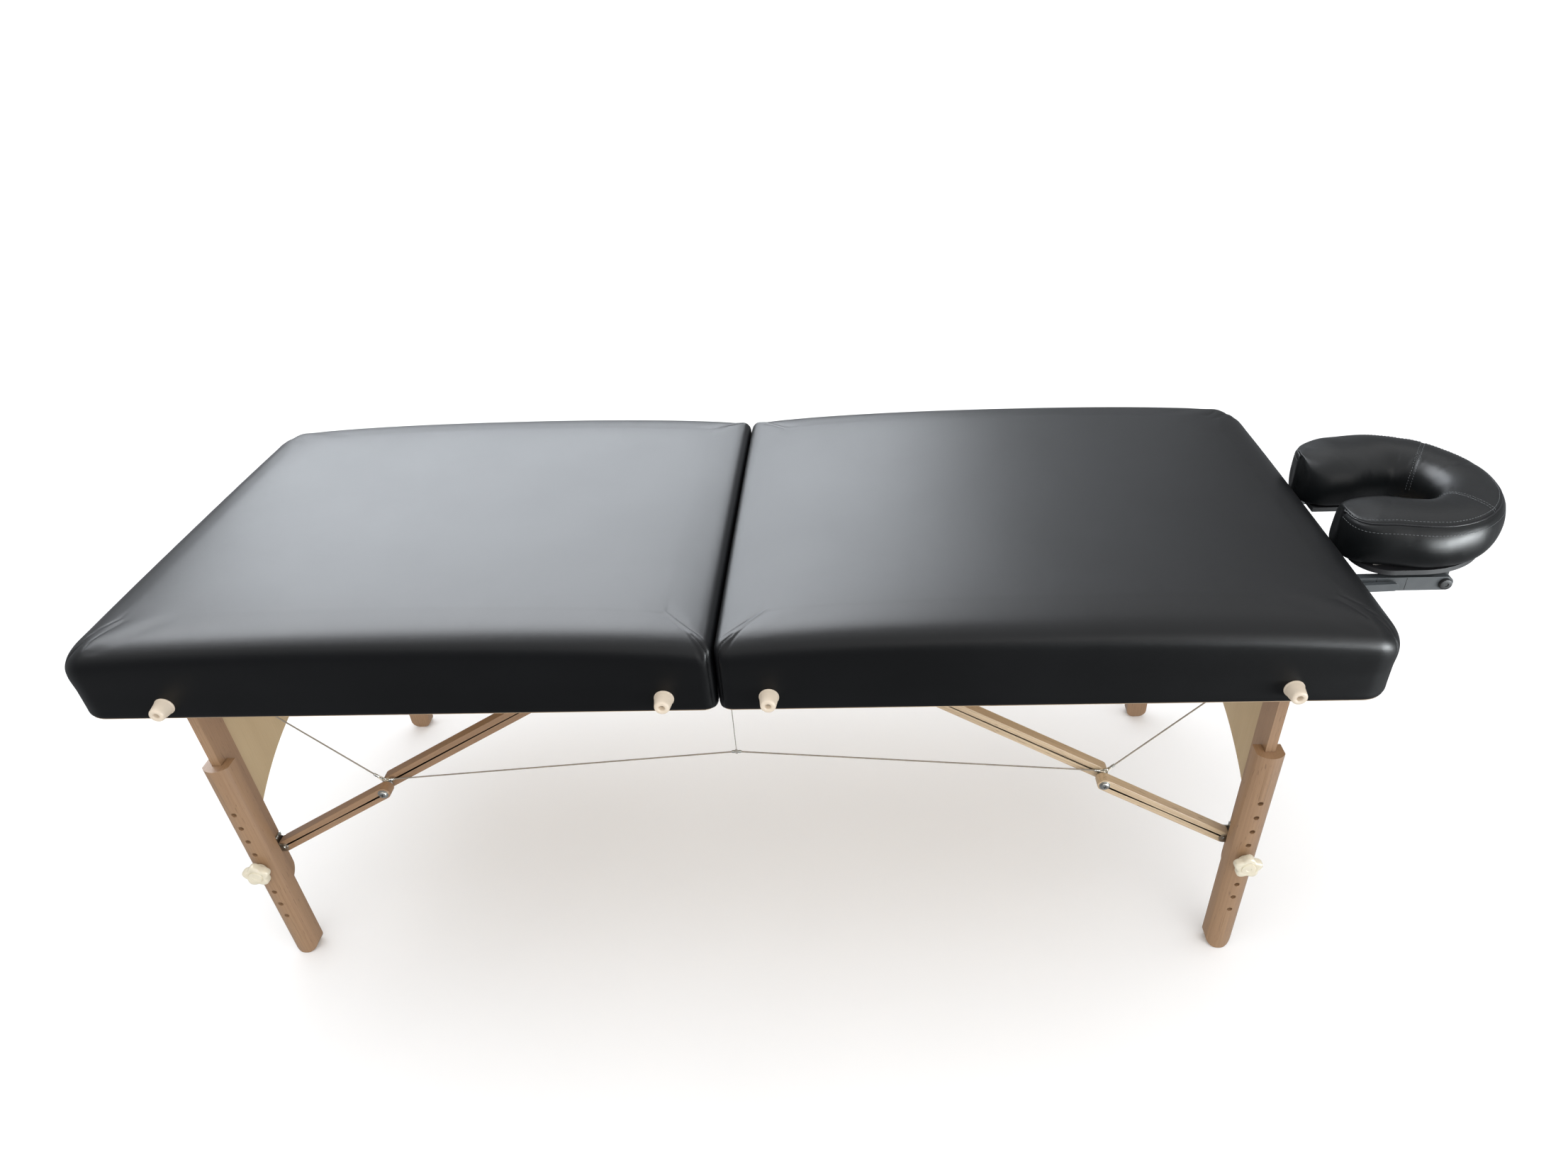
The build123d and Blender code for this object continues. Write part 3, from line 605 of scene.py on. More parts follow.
def top_height(x, y, inset, nx):
    """The top's height, with the edge rolling over: wide all round, tight at the seam."""
    r = edge_radius(nx)
    t = min(1.0, inset / r)
    deep = 12 + (r - 14) * 0.88
    drop = (1 - (1 - (1 - t) ** 2.3) ** (1 / 2.3)) * deep
    return crown(x, y) - drop


def panel_cover(end):
    side = ENDS[end]
    count = 2 * (STEPS_X + STEPS_Y) + 8 * CORNER_STEPS
    verts, faces = [], []
    levels = []
    for inset, z in ((13, 608.75), (5, 608.6), (1.4, 609.4), (0, 612.5), (0, 622), (0, 634), (0, 646), (0, 656), (-0.4, 0.3), (-0.9, 0.65)):
        levels.append((inset, z))
    walls = len(levels)
    roll = [0.0, 0.5, 1.4, 3.0, 5.5, 9.0, 13.5, 19.0, 26.0, 34.0, 43.0, 53.0, 66.0]
    held = {}
    for row, (inset, z) in enumerate(levels):
        for x, y, nx, ny in ring(0):
            seam = smooth((-nx - 0.35) / 0.5)
            d = inset
            if inset > 0 and row < 3:
                d = inset * (1 - 0.8 * seam)
            if inset < 0:
                d = inset * (1 - seam)
            z_here = z if z > 1 else 656 + (top_height(x, y, 0, nx) - 656) * z
            verts.append((x - nx * d, y - ny * d, z_here))
            held[len(verts) - 1] = 1.0 if z > 1 else 0.75
    rows = walls
    for inset in roll:
        for x, y, nx, ny in ring(inset):
            bulge = 1.2 * (1 - smooth((-nx - 0.35) / 0.5)) * (1 - smooth(inset / 12))
            verts.append((x + nx * bulge, y + ny * bulge, top_height(x, y, inset, nx)))
            seam = smooth((-nx - 0.35) / 0.5)
            held[len(verts) - 1] = 0.55 + 0.4 * seam if inset < 12 else 0.25
        rows += 1
    for row in range(rows - 1):
        for k in range(count):
            m = (k + 1) % count
            faces.append([row * count + k, row * count + m, (row + 1) * count + m, (row + 1) * count + k])
    # the top: a grid whose border is the innermost loop
    across_x = STEPS_X + 2 * CORNER_STEPS
    across_y = STEPS_Y + 2 * CORNER_STEPS
    base = (rows - 1) * count
    loop = verts[base:]
    first = 0

    def border(i, j):
        if j == 0:
            return i
        if i == across_x:
            return across_x + j
        if j == across_y:
            return across_x + across_y + (across_x - i)
        if i == 0:
            return (2 * across_x + across_y + (across_y - j)) % count
        return None

    grid = {}
    for j in range(across_y + 1):
        for i in range(across_x + 1):
            b = border(i, j)
            if b is not None:
                grid[i, j] = base + b % count
                continue
            u, v = i / across_x, j / across_y
            low, high = np.array(loop[border(i, 0)]), np.array(loop[border(i, across_y)])
            left, right = np.array(loop[border(0, j)]), np.array(loop[border(across_x, j) % count])
            c00, c10 = np.array(loop[0]), np.array(loop[across_x])
            c11, c01 = np.array(loop[across_x + across_y]), np.array(loop[2 * across_x + across_y])
            p = (1 - v) * low + v * high + (1 - u) * left + u * right
            p -= (1 - u) * (1 - v) * c00 + u * (1 - v) * c10 + u * v * c11 + (1 - u) * v * c01
            inset = min(LENGTH - p[0], HALF - abs(p[1]), p[0])
            z = crown(p[0], p[1])
            grid[i, j] = len(verts)
            held[len(verts)] = 0.06
            wave = noise.noise(Vector((p[0] / 190, p[1] / 210, side * 3.3))) * 0.7
            verts.append((p[0], p[1], z + wave * smooth((inset - 66) / 80)))
    for j in range(across_y):
        for i in range(across_x):
            faces.append([grid[i, j], grid[i + 1, j], grid[i + 1, j + 1], grid[i, j + 1]])
    obj = make(f"{end}_padded_cover", [at(x, y, z, side) for x, y, z in verts], faces, M["vinyl"])
    fix_normals(obj)
    puff(obj, held, 1.6, 0.007)
    bm = bmesh.new()
    bm.from_mesh(obj.data)
    near = [e for e in bm.edges if all(corner_gap(v.co, side) < 75 and v.co.z > 0.61 for v in e.verts)]
    bmesh.ops.subdivide_edges(bm, edges=near, cuts=1, use_grid_fill=True, smooth=0.6)
    bm.to_mesh(obj.data)
    bm.free()
    subdivide(obj)
    lines = [corner_seam(obj, side, x, y) for x, y in CORNERS]
    for line, normals in lines:
        press_line(obj, line, 0.0011, 0.005)
    open_outlets(obj, side)
    parts = []
    tree = surface_tree(obj)
    for k, (line, normals) in enumerate(lines):
        snug = [tree.find_nearest(p)[0] for p in line]
        parts.append(many_tubes(f"{end}_dart_{k}", [[p - n * 0.00035 for p, n in zip(snug, normals)]], 0.0008, M["vinyl"], 8))
    darts = join(f"{end}_corner_seams", parts)
    body = BODY[f"{end}_cover"]
    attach(obj, body)
    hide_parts(f"{end}_cover", f"{end}_foam")
    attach(darts, body)
    return obj


CORNERS = [(0.75, -HALF), (LENGTH, -HALF), (LENGTH, HALF), (0.75, HALF)]


def corner_gap(p, side):
    """Distance in plan from the nearest corner of this panel, in millimetres."""
    x = (p.x - HINGE_X) * side * 1000
    y = p.y * 1000
    return min(math.hypot(x - cx, y - cy) for cx, cy in CORNERS)


def corner_seam(obj, side, cx, cy):
    """The sewn dart over a corner: in from the top at 45 degrees, then straight down the wall."""
    tree = surface_tree(obj)
    sx = 1 if cx < 100 else -1
    sy = 1 if cy < 0 else -1
    reach = 36.0 if sx > 0 else 58.0
    inner = Vector((cx + sx * reach, cy + sy * reach, 0))
    outward = Vector((cx - inner.x, cy - inner.y, 0)).normalized()
    points, normals = [], []
    centre = Vector((inner.x, inner.y, TOP - 62))
    for k in range(0, 75):
        a = math.radians((74 if sx > 0 else 60) * (1 - k / 74))
        ray = outward * math.cos(a) + Vector((0, 0, 1)) * math.sin(a)
        start = centre + ray * 260
        hit(tree, start, -ray, side, points, normals)
    z = centre.z
    while z > BOTTOM + 6:
        z -= 1.5
        start = Vector((centre.x, centre.y, z)) + outward * 260
        hit(tree, start, -outward, side, points, normals)
    line = evenly(points, 0.0006)
    found = [tree.find_nearest(p) for p in line]
    return [f[0] for f in found], [f[1] if f[1].dot(p - at(centre.x, centre.y, centre.z, side)) > 0 else -f[1] for f, p in zip(found, line)]


def hit(tree, start, ray, side, points, normals):
    a = at(start.x, start.y, start.z, side)
    d = Vector((ray.x * side, ray.y, ray.z)).normalized()
    place, normal, _, _ = tree.ray_cast(a, d)
    if place is not None and (not points or (place - points[-1]).length < 0.02):
        points.append(place)
        normals.append(normal)


def open_outlets(obj, side):
    """Opens the skin over the two round outlets and draws its edge to a circle."""
    bm = bmesh.new()
    bm.from_mesh(obj.data)
    for y in (-103, 103):
        c = at(LENGTH, y, 645, side)
        inside = [f for f in bm.faces if abs(f.calc_center_median().x - c.x) < 0.006
                  and math.hypot(f.calc_center_median().y - c.y, f.calc_center_median().z - c.z) < 0.0105]
        bmesh.ops.delete(bm, geom=inside, context="FACES")
        for v in bm.verts:
            d = math.hypot(v.co.y - c.y, v.co.z - c.z)
            if abs(v.co.x - c.x) < 0.006 and v.is_boundary and d < 0.018:
                v.co.y = c.y + (v.co.y - c.y) * 0.0102 / d
                v.co.z = c.z + (v.co.z - c.z) * 0.0102 / d
    bm.to_mesh(obj.data)
    bm.free()


covers = {end: panel_cover(end) for end in ENDS}


# ---------------------------------------------------------------- face cushion
CUSHION_LOW, CUSHION_TOP = 681.3, 763.0
SECTION = 44
SEAM_AT = 0


def section_point(k, crest):
    """Point k round the cushion's section: (share of the way from the hole to the outside, height)."""
    t = k / SECTION
    h = CUSHION_TOP - CUSHION_LOW
    # control points: outer seam, top panel, roll into the hole, inner wall, base, boxing
    shape = [
        (0.875, 0.915), (0.81, 0.955), (0.72, 0.985), (0.6, 1.0), (0.47, 1.0), (0.33, 0.975), (0.2, 0.91),
        (0.09, 0.78), (0.025, 0.59), (0.0, 0.38), (0.01, 0.16), (0.05, 0.03), (0.16, 0.0), (0.4, 0.0), (0.62, 0.0),
        (0.78, 0.0), (0.87, 0.035), (0.95, 0.17), (0.985, 0.36), (0.98, 0.58), (0.94, 0.77),
    ]
    n = len(shape)
    u = t * n
    i = int(u) % n
    f = u - int(u)
    p0, p1, p2, p3 = (shape[(i + d) % n] for d in (-1, 0, 1, 2))
    if i == 0:
        p0 = (p1[0] + 0.02, p1[1] + 0.0)
    if i == n - 1:
        p3 = (p2[0] + 0.01, p2[1] + 0.1)
    out = []
    for a, b, c, d in zip(p0, p1, p2, p3):
        out.append(0.5 * ((2 * b) + (c - a) * f + (2 * a - 5 * b + 4 * c - d) * f * f + (3 * b - a - 3 * c + d) * f ** 3))
    return out[0], CUSHION_LOW + out[1] * h * crest


def horseshoe_path():
    """(inner point, outer point, closing share) along the cushion, from the near lobe round to the far one."""
    rows = []
    x_end, x_turn = 934.0, 1046.0
    near = []
    count = 26
    for k in range(count + 1):
        t = (k / count) ** 1.6
        near.append(x_end + (x_turn - x_end) * t)
    for x in near:
        rows.append(((x, -30.0 - 14.5 * smooth((x - 1000) / 62)), (x, -164.0 + 16 * (1 - smooth((x - 938) / 100))), x - x_end))
    for k in range(1, 48):
        a = math.radians(-90 + 180 * k / 48)
        inner = (1062 + 47 * math.cos(a), 46 * math.sin(a))
        outer = (1046 + 158 * math.cos(a), 164 * math.sin(a))
        rows.append((inner, outer, 999.0))
    for (ix, iy), (ox, oy), s in reversed(rows[: count + 1]):
        rows.append(((ix, -iy), (ox, -oy), s))
    return rows


def cushion():
    verts, faces = [], []
    rows = horseshoe_path()
    for inner, outer, close in rows:
        a, b = Vector((*inner, 0)), Vector((*outer, 0))
        open_share = 1.0
        if close < 50:
            c = 1 - close / 50
            open_share = max(0.0, 1 - c ** 2.6) ** (1 / 2.6)
        open_share = max(open_share, 0.03)
        crest = 1 - 0.09 * (1 - smooth(close / 60))
        for k in range(SECTION):
            u, z = section_point(k, crest)
            u = 0.47 + (u - 0.47) * open_share
            p = a.lerp(b, u)
            verts.append(at(p.x, p.y, z))
    n = len(rows)
    for i in range(n - 1):
        for k in range(SECTION):
            m = (k + 1) % SECTION
            faces.append([i * SECTION + k, i * SECTION + m, (i + 1) * SECTION + m, (i + 1) * SECTION + k])
    faces.append([k for k in reversed(range(SECTION))])
    faces.append([(n - 1) * SECTION + k for k in range(SECTION)])
    obj = make("face_cushion", verts, faces, M["cushion"])
    fix_normals(obj)
    held = {}
    for i in range(n):
        for k in range(SECTION):
            z = verts[i * SECTION + k].z * 1000
            hold = 0.12
            if z < CUSHION_LOW + 3:
                hold = 1.0
            elif k == SEAM_AT:
                hold = 0.93
            elif k in (1, SECTION - 1):
                hold = 0.5
            held[i * SECTION + k] = hold
    for i in CROSS_SEAMS:
        for k in range(1, 20):
            held[i * SECTION + k] = 0.9
    puff(obj, held, 5.0, 0.006)
    seam = [obj.data.vertices[i * SECTION + SEAM_AT].co.copy() for i in range(n)]
    lower = [[obj.data.vertices[i * SECTION + k].co.copy() for i in range(n)] for k in (SECTION - 2, 2)]
    crossing = []
    for i in CROSS_SEAMS:
        crossing.append([obj.data.vertices[i * SECTION + k].co.copy() for k in range(0, 20)])
    subdivide(obj)
    wrinkle(obj)
    press_line(obj, evenly(seam, 0.001), 0.0022, 0.0065)
    for line in crossing:
        press_line(obj, evenly(line, 0.001), 0.0012, 0.005)
    tree = surface_tree(obj)
    parts = []
    line = evenly(seam, 0.0018)
    on = [tree.find_nearest(p) for p in line]
    parts.append(tube("seam_welt", [f[0] + Vector((0, 0, 0.0004)) for f in on], 0.0013, M["piping"], sides=8))
    for k, source in enumerate(lower):
        line = evenly(source, 0.0007)
        on = [tree.find_nearest(p) for p in line]
        pts, nrm = [f[0] for f in on], [f[1] for f in on]
        parts.append(many_tubes(f"welt_thread_{k}", stitches(pts, 0.0036, 0.0016, 0.0005, nrm), 0.0003, M["thread"], 5))
    for k, line in enumerate(crossing):
        fine = evenly(line, 0.0007)
        on = [tree.find_nearest(p) for p in fine]
        parts.append(tube(f"cross_seam_{k}", [f[0] - f[1] * 0.0003 for f in on], 0.0007, M["piping"], sides=6))
        for shift in (-0.0032, 0.0032):
            pts, nrm = [], []
            for i, f in enumerate(on):
                ahead = (fine[min(i + 1, len(fine) - 1)] - fine[max(i - 1, 0)]).normalized()
                g = tree.find_nearest(f[0] + ahead.cross(f[1]) * shift)
                pts.append(g[0])
                nrm.append(g[1])
            parts.append(many_tubes(f"cross_thread_{k}_{shift}", stitches(pts, 0.0034, 0.0015, 0.0005, nrm), 0.0003, M["thread"], 5))
    seams = join("face_cushion_seams", parts)
    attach(obj, "cradle_cushion")
    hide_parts("cradle_cushion")
    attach(seams, "cradle_cushion")


CROSS_SEAMS = (37, 63)


def wrinkle(obj):
    """Small pulls of the skin: short folds running away from the seam and shallow dents."""
    co = [v.co.copy() for v in obj.data.vertices]
    normals = [v.normal.copy() for v in obj.data.vertices]
    for v, c, n in zip(obj.data.vertices, co, normals):
        z = c.z * 1000
        if z < CUSHION_LOW + 4:
            continue
        a = math.atan2(c.y, c.x - at(1046, 0, 0).x)
        radial = noise.noise(Vector((a * 6.0, z / 60, 2.0)))
        fold = max(0.0, radial - 0.25) * 0.0016 * smooth((z - CUSHION_LOW) / 25)
        dent = noise.noise(Vector((c.x * 22, c.y * 22, c.z * 24))) * 0.0011
        v.co = c + n * (dent - fold)
    obj.data.update()


cushion()


# ---------------------------------------------------------------- carrying feet, outlets, screws
def side_feet():
    for end, side in ENDS.items():
        parts = []
        for x in (73, 785):
            origin = at(x, -355.6, 634, side)
            profile = [(-0.6, 13.6), (0.4, 14.0), (1.6, 14.0), (2.2, 13.4), (2.9, 13.2), (17.5, 11.15), (19.6, 10.8), (21.2, 10.0),
                       (21.9, 8.8), (22.0, 7.2), (21.7, 5.2), (21.0, 4.4), (19.5, 4.0), (12.5, 3.7), (12.4, 0)]
            parts.append(lathe(f"{end}_foot_{x}", profile, origin, (0, -1, 0), M["rubber"], 48))
            head, shaded_recess = cross_head(f"{end}_foot_screw_{x}", origin + Vector((0, -0.0124, 0)), (0, -1, 0), 3.4, 2.2, M["steel"], M["recess_shade_steel"])
            parts += [head, shaded_recess]
        obj = join(f"{end}_carrying_feet", parts)
        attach(obj, f"{end}_panel")
        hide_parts(f"{end}_side_feet")


side_feet()


def outlet_rims():
    for end, side in ENDS.items():
        parts = []
        for y in (-103, 103):
            profile = [(-1.0, 9.7), (0.2, 9.7), (0.9, 10.1), (1.2, 11.0), (1.1, 13.6), (0.5, 14.4), (-0.6, 14.5), (-1.0, 14.5)]
            origin = at(927.2, y, 645, side)
            verts, faces = [], []
            sides = 48
            for d, r in profile:
                for k in range(sides):
                    t = 2 * math.pi * k / sides
                    verts.append(origin + Vector((side * d, r * math.cos(t), r * math.sin(t))) / 1000)
            n = len(profile)
            for i in range(n):
                for k in range(sides):
                    m = (k + 1) % sides
                    j = (i + 1) % n
                    faces.append([i * sides + k, i * sides + m, j * sides + m, j * sides + k])
            rim = make(f"{end}_rim_{y}", verts, faces, M["black"])
            fix_normals(rim)
            parts.append(rim)
        obj = join(f"{end}_outlet_rims", parts)
        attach(obj, f"{end}_panel")


outlet_rims()


# ---------------------------------------------------------------- bolts
def rod_detail(name, body, pieces):
    obj = join(name, pieces)
    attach(obj, body)
    return obj


UNIT = (Vector((790 - 101, 0, 237 - 650))).normalized()
KNUCKLE = Vector((101, 0, 650)) + UNIT * 561
RING = KNUCKLE + Vector((-UNIT.z, 0, UNIT.x)) * 10.6
for end, side in ENDS.items():
    heads, pivots, caps = [], [], []
    for face in (-1, 1):
        y = face * 270.0
        # knuckle bolt with its washer on the lower brace
        spot = at(KNUCKLE.x, y + face * 0.02, KNUCKLE.z, side)
        washer = sharpen(lathe(f"{end}_w_{face}", [(0, 8.6), (0.9, 8.6), (1.1, 8.2), (1.1, 3)], spot, (0, face, 0), M["steel"], 36))
        head, shaded_recess = cross_head(f"{end}_k_{face}", spot + Vector((0, face * 0.001, 0)), (0, face, 0), 6.6, 3.0, M["steel"], M["recess_shade_steel"])
        heads += [washer, head, shaded_recess]
        # screws that hold the fork plates to the leg board
        for dz in (-12.5, 12.5):
            spot = at(802.4, face * 261.0, 237 + dz, side)
            head, shaded_recess = cross_head(f"{end}_l_{face}_{dz}", spot, (-side, 0, 0), 2.6, 1.1, M["steel"], M["recess_shade_steel"])
            caps += [head, shaded_recess]
        # screws through the plywood into the board
        for z in (338, 400, 470, 560, 625):
            spot = at(828.5, face * 262.0, z, side)
            head, shaded_recess = cross_head(f"{end}_p_{face}_{z}", spot, (side, 0, 0), 4.0, 0.9, M["steel"], M["recess_shade_steel"])
            caps += [head, shaded_recess]
    rod_detail(f"{end}_knuckle_screws", f"{end}_lower_brace", heads)
    rod_detail(f"{end}_frame_screws", f"{end}_leg_frame", caps)


# ---------------------------------------------------------------- knobs
def knob(end, side_name):
    side, face = ENDS[end], -1 if side_name == "front" else 1
    origin = at(812, face * 310.5, 232, side)
    axis = Vector((0, face, 0))
    right = Vector((1, 0, 0))
    up = Vector((0, 0, 1))
    verts, faces = [], []
    sides = 110
    profile = [(0.3, 0.30), (0.3, 0.465), (6.6, 0.48), (7.2, 0.60), (7.4, 0.90), (8.2, 0.965), (10.0, 1.0), (16.0, 1.0),
               (18.4, 0.97), (19.6, 0.90), (20.2, 0.80), (20.3, 0.62), (19.3, 0.56), (19.3, 0.50), (20.9, 0.47), (20.9, 0.20), (20.3, 0.175), (20.3, 0.0)]
    for d, share in profile:
        lobed = smooth((share - 0.5) / 0.35)
        for k in range(sides):
            t = 2 * math.pi * k / sides
            wave = 0.5 + 0.5 * math.cos(5 * (t - math.pi / 2))
            outer = 17.6 + 5.4 * wave ** 0.8
            r = (22.6 * (1 - lobed) + outer * lobed) * share
            verts.append(origin + axis * d / 1000 + (right * math.cos(t) + up * math.sin(t)) * max(r, 0.01) / 1000)
    for i in range(len(profile) - 1):
        for k in range(sides):
            m = (k + 1) % sides
            faces.append([i * sides + k, i * sides + m, (i + 1) * sides + m, (i + 1) * sides + k])
    grip = make(f"{end}_{side_name}_star_knob", verts, faces, M["cream"])
    fix_normals(grip)
    sharpen(grip, 42)
    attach(grip, f"{end}_{side_name}_knob")
    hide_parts(f"{end}_{side_name}_knob")


for end in ENDS:
    for name in ("front", "back"):
        knob(end, name)


# ---------------------------------------------------------------- cables
CABLE_Y, CABLE_R = 247.0, 1.2
EYE = Vector((797, 0, 596))


def cable(name, start, stop, y, side, bodies, node):
    """One wire rope between two anchors, with a sleeved loop and a crimped ferrule at each looped end."""
    a, b = Vector((start[0].x, y, start[0].z)), Vector((stop[0].x, y, stop[0].z))
    ahead = (b - a).normalized()
    points = evenly([at(*(a + ahead * start[1]), side), at(*(b - ahead * stop[1]), side)], 0.0016)
    rope = tube(name, points, CABLE_R / 1000, M["wire"], sides=14, strands=6, twist=0.011)
    parts = []
    for (p, _, ring), way in ((start, ahead), (stop, -ahead)):
        if ring <= 0:
            continue
        base = Vector((p.x, y, p.z))
        inside = ring - 2.4
        middle = base + way * (inside + 4.6)
        loop = []
        for k in range(28):
            t = 2 * math.pi * k / 28
            wide = 2.5 * (1 - 0.28 * math.cos(t))
            loop.append(at(*(middle + way * 4.6 * math.cos(t) + Vector((0, wide * math.sin(t), 0))), side))
        parts.append(tube(name + "_loop", loop, 0.00095, M["coat"], sides=8, closed=True))
        turned = Vector((way.x * side, 0, way.z))
        spot = at(*(middle + way * 3.6), side)
        ferrule = sharpen(lathe(name + "_ferrule", [(0, 1.4), (0.5, 2.1), (2.2, 2.35), (2.6, 1.9), (3.2, 1.9), (3.6, 2.35), (6.0, 2.35), (6.4, 1.9), (7.0, 1.9), (7.4, 2.3), (9.2, 2.1), (9.6, 1.3)],
                                spot, turned, M["steel"], 20), 40)
        parts.append(ferrule)
    ends = join(name + "_ends", parts)
    if len(bodies) == 2:
        for obj in (rope, ends):
            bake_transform(obj, bodies[0][0], bodies[1][0], start=bodies[0][1], end=bodies[1][1])
    else:
        # the long cable rides with the panel, its looped ends with the upper brace
        panel, brace, fold, level = bodies
        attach(rope, panel)
        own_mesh(rope)
        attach(ends, brace)
    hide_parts(node)


MIDDLE = Vector((0, 0, 424))
for end, side in ENDS.items():
    for name, face in (("front", -1), ("back", 1)):
        y = face * CABLE_Y
        far = at(*(RING + (EYE - RING) * 0.2), side)
        cable(f"{end}_{name}_outer_cable", (EYE, 6.8, 5.0), (RING, 5.0, 3.2), y, side,
              ((f"{end}_leg_frame", at(EYE.x - 4, 0, EYE.z - 4, side)), (f"{end}_lower_brace", far)), f"{end}_outer_cables")
        cable(f"{end}_{name}_centre_cable", (MIDDLE, 1.5, 0), (RING, 5.0, 3.2), y, side,
              (f"{end}_panel", f"{end}_upper_brace", "open_and_close_first_half", at(0, 0, BOTTOM, side)), f"{end}_centre_cables")
for name, face in (("front", -1), ("back", 1)):
    y = face * CABLE_Y
    points = evenly([at(0, y, 427), at(0, y, 604.4)], 0.0012)
    thread = tube(f"{name}_drop_cord", points, 0.0008, M["cord"], sides=10, strands=4, twist=0.006)
    spot = at(-8, y, 424)
    crimp = sharpen(lathe(f"{name}_cable_crimp", [(0, 1.5), (0.6, 2.2), (5.0, 2.4), (5.6, 1.9), (6.4, 1.9), (7, 2.4), (9, 2.4), (9.6, 1.9), (10.4, 1.9), (11, 2.4), (15.4, 2.2), (16, 1.5)],
                          spot, (1, 0, 0), M["steel"], 20), 40)
    knot = []
    for k in range(40):
        t = k / 40 * 2 * math.pi * 3
        knot.append(at(-1.6 + 3.2 * k / 40, y + 3.0 * math.cos(t), 424 + 3.0 * math.sin(t)))
    tie = tube(f"{name}_cord_tie", knot, 0.0007, M["cord"], sides=8)
    ends = join(f"{name}_cord_end", [crimp, tie])
    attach(thread, "hinge_pin")
    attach(ends, "hinge_pin")
    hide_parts("drop_cords")


# ---------------------------------------------------------------- the frame's own pieces
FINISH = {
    "side_rails": ("rail_x", 0.8), "cross_rails": ("rail_y", 0.8), "deck": ("deck", 0.4), "outlet_sleeves": ("black", 0.3), "handle": ("black", 1.2),
    "hinge_leaf": ("steel", 0.0), "brace_brackets": ("steel", 0.25), "leg_pivots": ("steel", 0.5), "upper_legs": ("board", 1.2),
    "end_plate": ("plate", 0.7), "brace_lugs": ("steel", 0.25), "leg_studs": ("steel", 0.3), "knuckle_rings": ("steel", 0.0),
    "knuckle_bolts": ("steel", 0.3), "lower_leg": ("leg", 1.1), "hinge_pin": ("steel", 0.0), "cradle_dowels": ("alloy", 0.4),
    "cradle_crossbar": ("grey", 1.0), "cradle_arms": ("grey", 1.4), "cradle_platform": ("black", 1.0), "cam_lever": ("grey", 1.2),
}
for name, obj in NODES.items():
    if obj.hide_render:
        continue
    kind = name
    for word in ("foot_", "head_", "front_", "back_"):
        if kind.startswith(word):
            kind = kind[len(word):]
    if kind in ("upper_braces", "lower_braces"):
        # the foot braces get the darker wood copy, which is painted shade
        mat, width = ("brace_head" if name.startswith("head") else "brace_foot"), 1.2
    else:
        mat, width = FINISH[kind]
    obj.data.materials.clear()
    obj.data.materials.append(M[mat])
    for attribute in [a.name for a in obj.data.attributes if a.name == "custom_normal"]:
        obj.data.attributes.remove(obj.data.attributes[attribute])
    obj.data.polygons.foreach_set("use_smooth", [True] * len(obj.data.polygons))
    weld = obj.modifiers.new("Weld", "WELD")
    weld.merge_threshold = 0.00001
    if width:
        bevel = obj.modifiers.new("Bevel", "BEVEL")
        bevel.width = width / 1000
        bevel.segments = 2
        bevel.limit_method = "ANGLE"
        bevel.angle_limit = math.radians(38)
        bevel.harden_normals = True
        bevel.use_clamp_overlap = True


# ---------------------------------------------------------------- cradle fittings
def cradle_fittings():
    arms, plate = [], []
    for face in (-1, 1):
        for x in (1088,):
            profile = [(0, 9.5), (3.2, 9.5), (4.6, 8.6), (5.0, 7.0), (5.0, 3.4), (4.0, 3.0), (4.0, 0)]
            arms.append(sharpen(lathe(f"cap_{face}_{x}", profile, at(x, face * 137.2, 647), (0, face, 0), M["black"], 36), 40))
        # two shallow lines across each arm where its moulded cover plates meet
        for x in (985, 1030):
            arms.append(many_tubes(f"joint_{face}_{x}", [[at(x, face * 137.1, 636.5), at(x, face * 137.1, 647), at(x, face * 137.1, 657.5)]], 0.00035, M["black"], 6))
    obj = join("cradle_arm_caps", arms)
    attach(obj, "cradle_arms")
    # hook-and-loop pads on the platform, under the cushion
    pads, faces = [], []
    for x0, x1, y0, y1 in ((975, 1035, -132, -82), (975, 1035, 82, 132), (1130, 1165, -40, 40)):
        n = len(pads)
        for z in (680.0, 681.0):
            for x, y in ((x0, y0), (x1, y0), (x1, y1), (x0, y1)):
                pads.append(at(x, y, z))
        faces += [[n, n + 3, n + 2, n + 1], [n + 4, n + 5, n + 6, n + 7]]
        faces += [[n + k, n + (k + 1) % 4, n + 4 + (k + 1) % 4, n + 4 + k] for k in range(4)]
    pad = make("platform_loop_pads", pads, faces, M["cord"], False)
    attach(pad, "cradle_platform")


cradle_fittings()


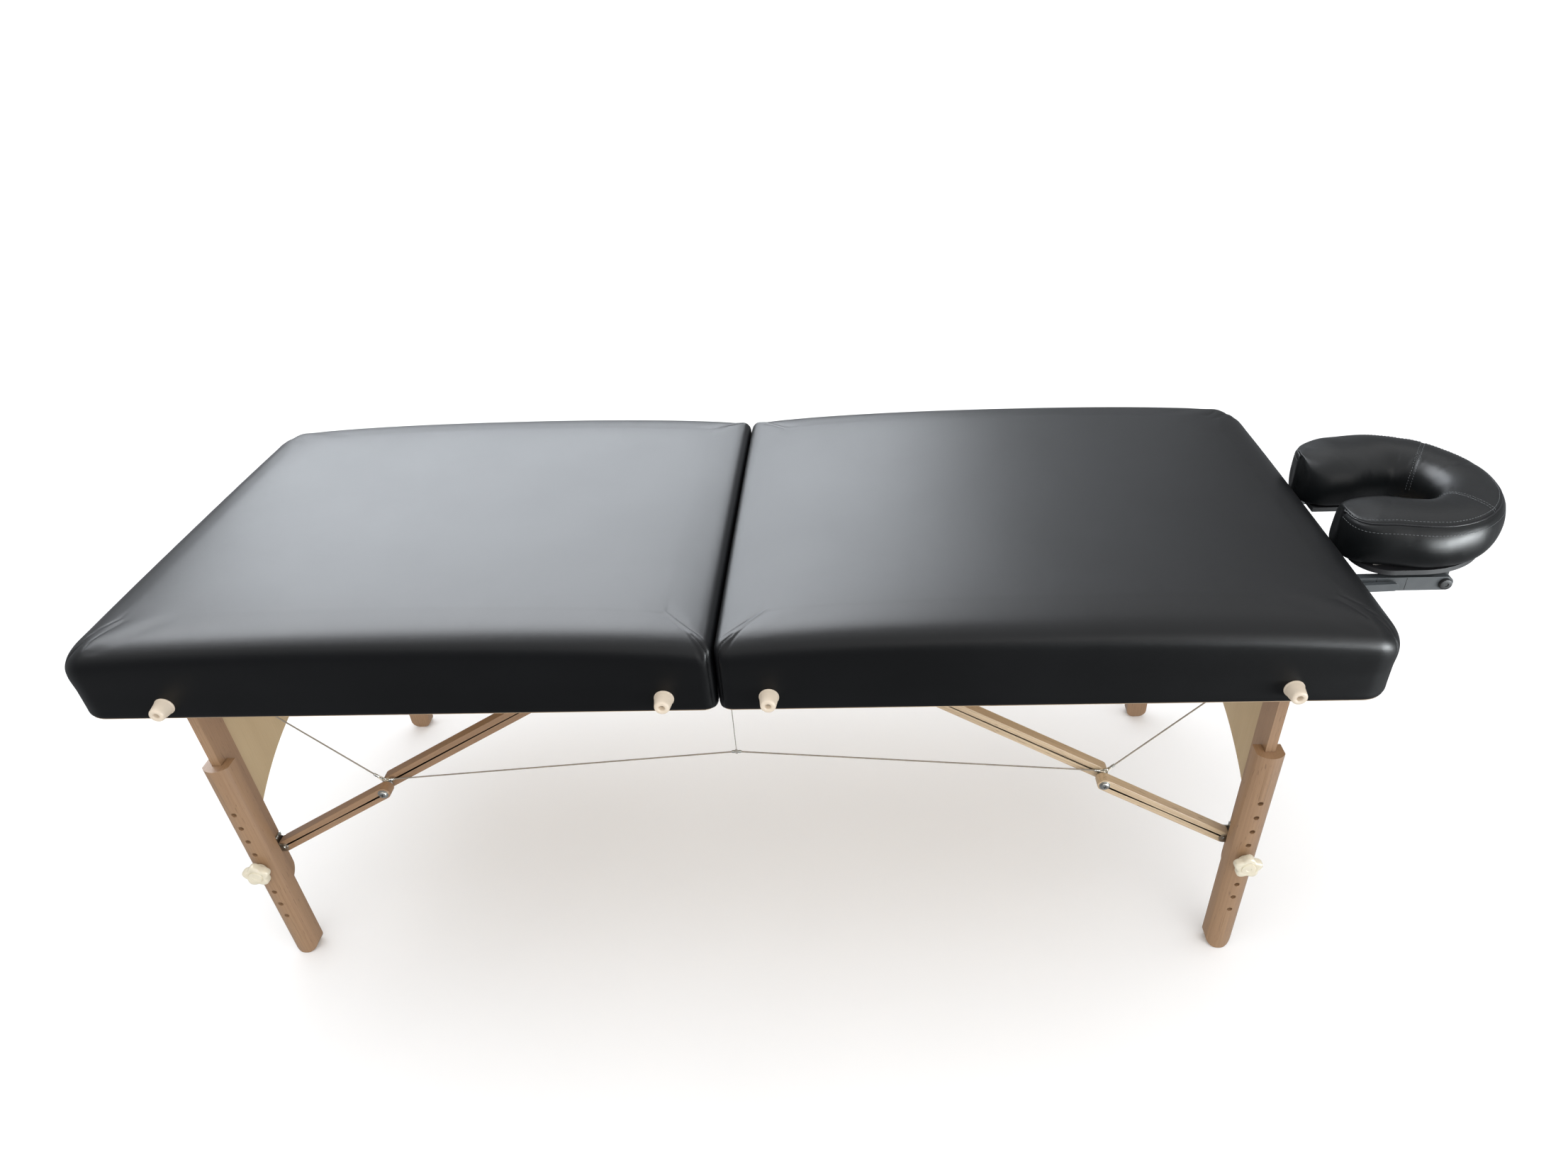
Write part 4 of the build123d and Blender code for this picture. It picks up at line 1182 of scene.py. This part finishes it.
# ---------------------------------------------------------------- floor and lights
def surroundings():
    floor = make("floor", [(-40, -40, -0.0006), (40, -40, -0.0006), (40, 40, -0.0006), (-40, 40, -0.0006)], [[0, 1, 2, 3]], floor_material(), False)
    floor.visible_glossy = False
    SCENE.view_settings.view_transform = "Standard"
    world = bpy.data.worlds.new("studio")
    SCENE.world = world
    world.use_nodes = True
    world.node_tree.nodes["Background"].inputs["Color"].default_value = (0.93, 0.96, 1.0, 1)
    world.node_tree.nodes["Background"].inputs["Strength"].default_value = 0.34
    area("window", (-1.75, 3.0, 2.65), (-1.75, 0, 1.4), 4.4, 2.1, 300, (0.89, 0.94, 1.0), True)
    area("window_far", (1.25, 3.3, 2.65), (1.0, 0, 1.2), 1.5, 2.0, 9, (0.89, 0.94, 1.0), True)
    area("ceiling", (-2.0, 1.2, 3.5), (-1.8, 0.1, 0.7), 4.2, 2.0, 470, (0.92, 0.955, 1.0), True)
    area("side_window", (3.6, -2.3, 0.5), (1.12, -0.12, 0.7), 2.4, 0.9, 400, (0.93, 0.98, 1.0), True)
    area("front_fill", (1.8, -3.4, 2.2), (0.0, 0, 0.5), 2.6, 1.0, 22, (1.0, 0.98, 0.95))
    sun = bpy.data.lights.new("sky", "SUN")
    sun.energy = 3.3
    sun.angle = math.radians(120)
    obj = bpy.data.objects.new("sky", sun)
    obj.rotation_euler = (math.radians(8), math.radians(6), 0)
    SCENE.collection.objects.link(obj)


def floor_material():
    s = Surface("floor_paper", 0.85)
    n = s.noise(s.place, 2.0, 3.0)
    s.colour(s.ramp(n, (0.2, (0.86, 0.86, 0.86)), (0.8, (0.89, 0.89, 0.89))))
    return s.mat


def area(name, place, aim, wide, high, power, colour, sheen_only=False):
    light = bpy.data.lights.new(name, "AREA")
    light.shape = "RECTANGLE"
    light.size = wide
    light.size_y = high
    light.energy = power
    light.color = colour
    obj = bpy.data.objects.new(name, light)
    obj.location = place
    obj.rotation_euler = (Vector(aim) - Vector(place)).to_track_quat("-Z", "Y").to_euler()
    obj.visible_diffuse = not sheen_only
    SCENE.collection.objects.link(obj)


surroundings()
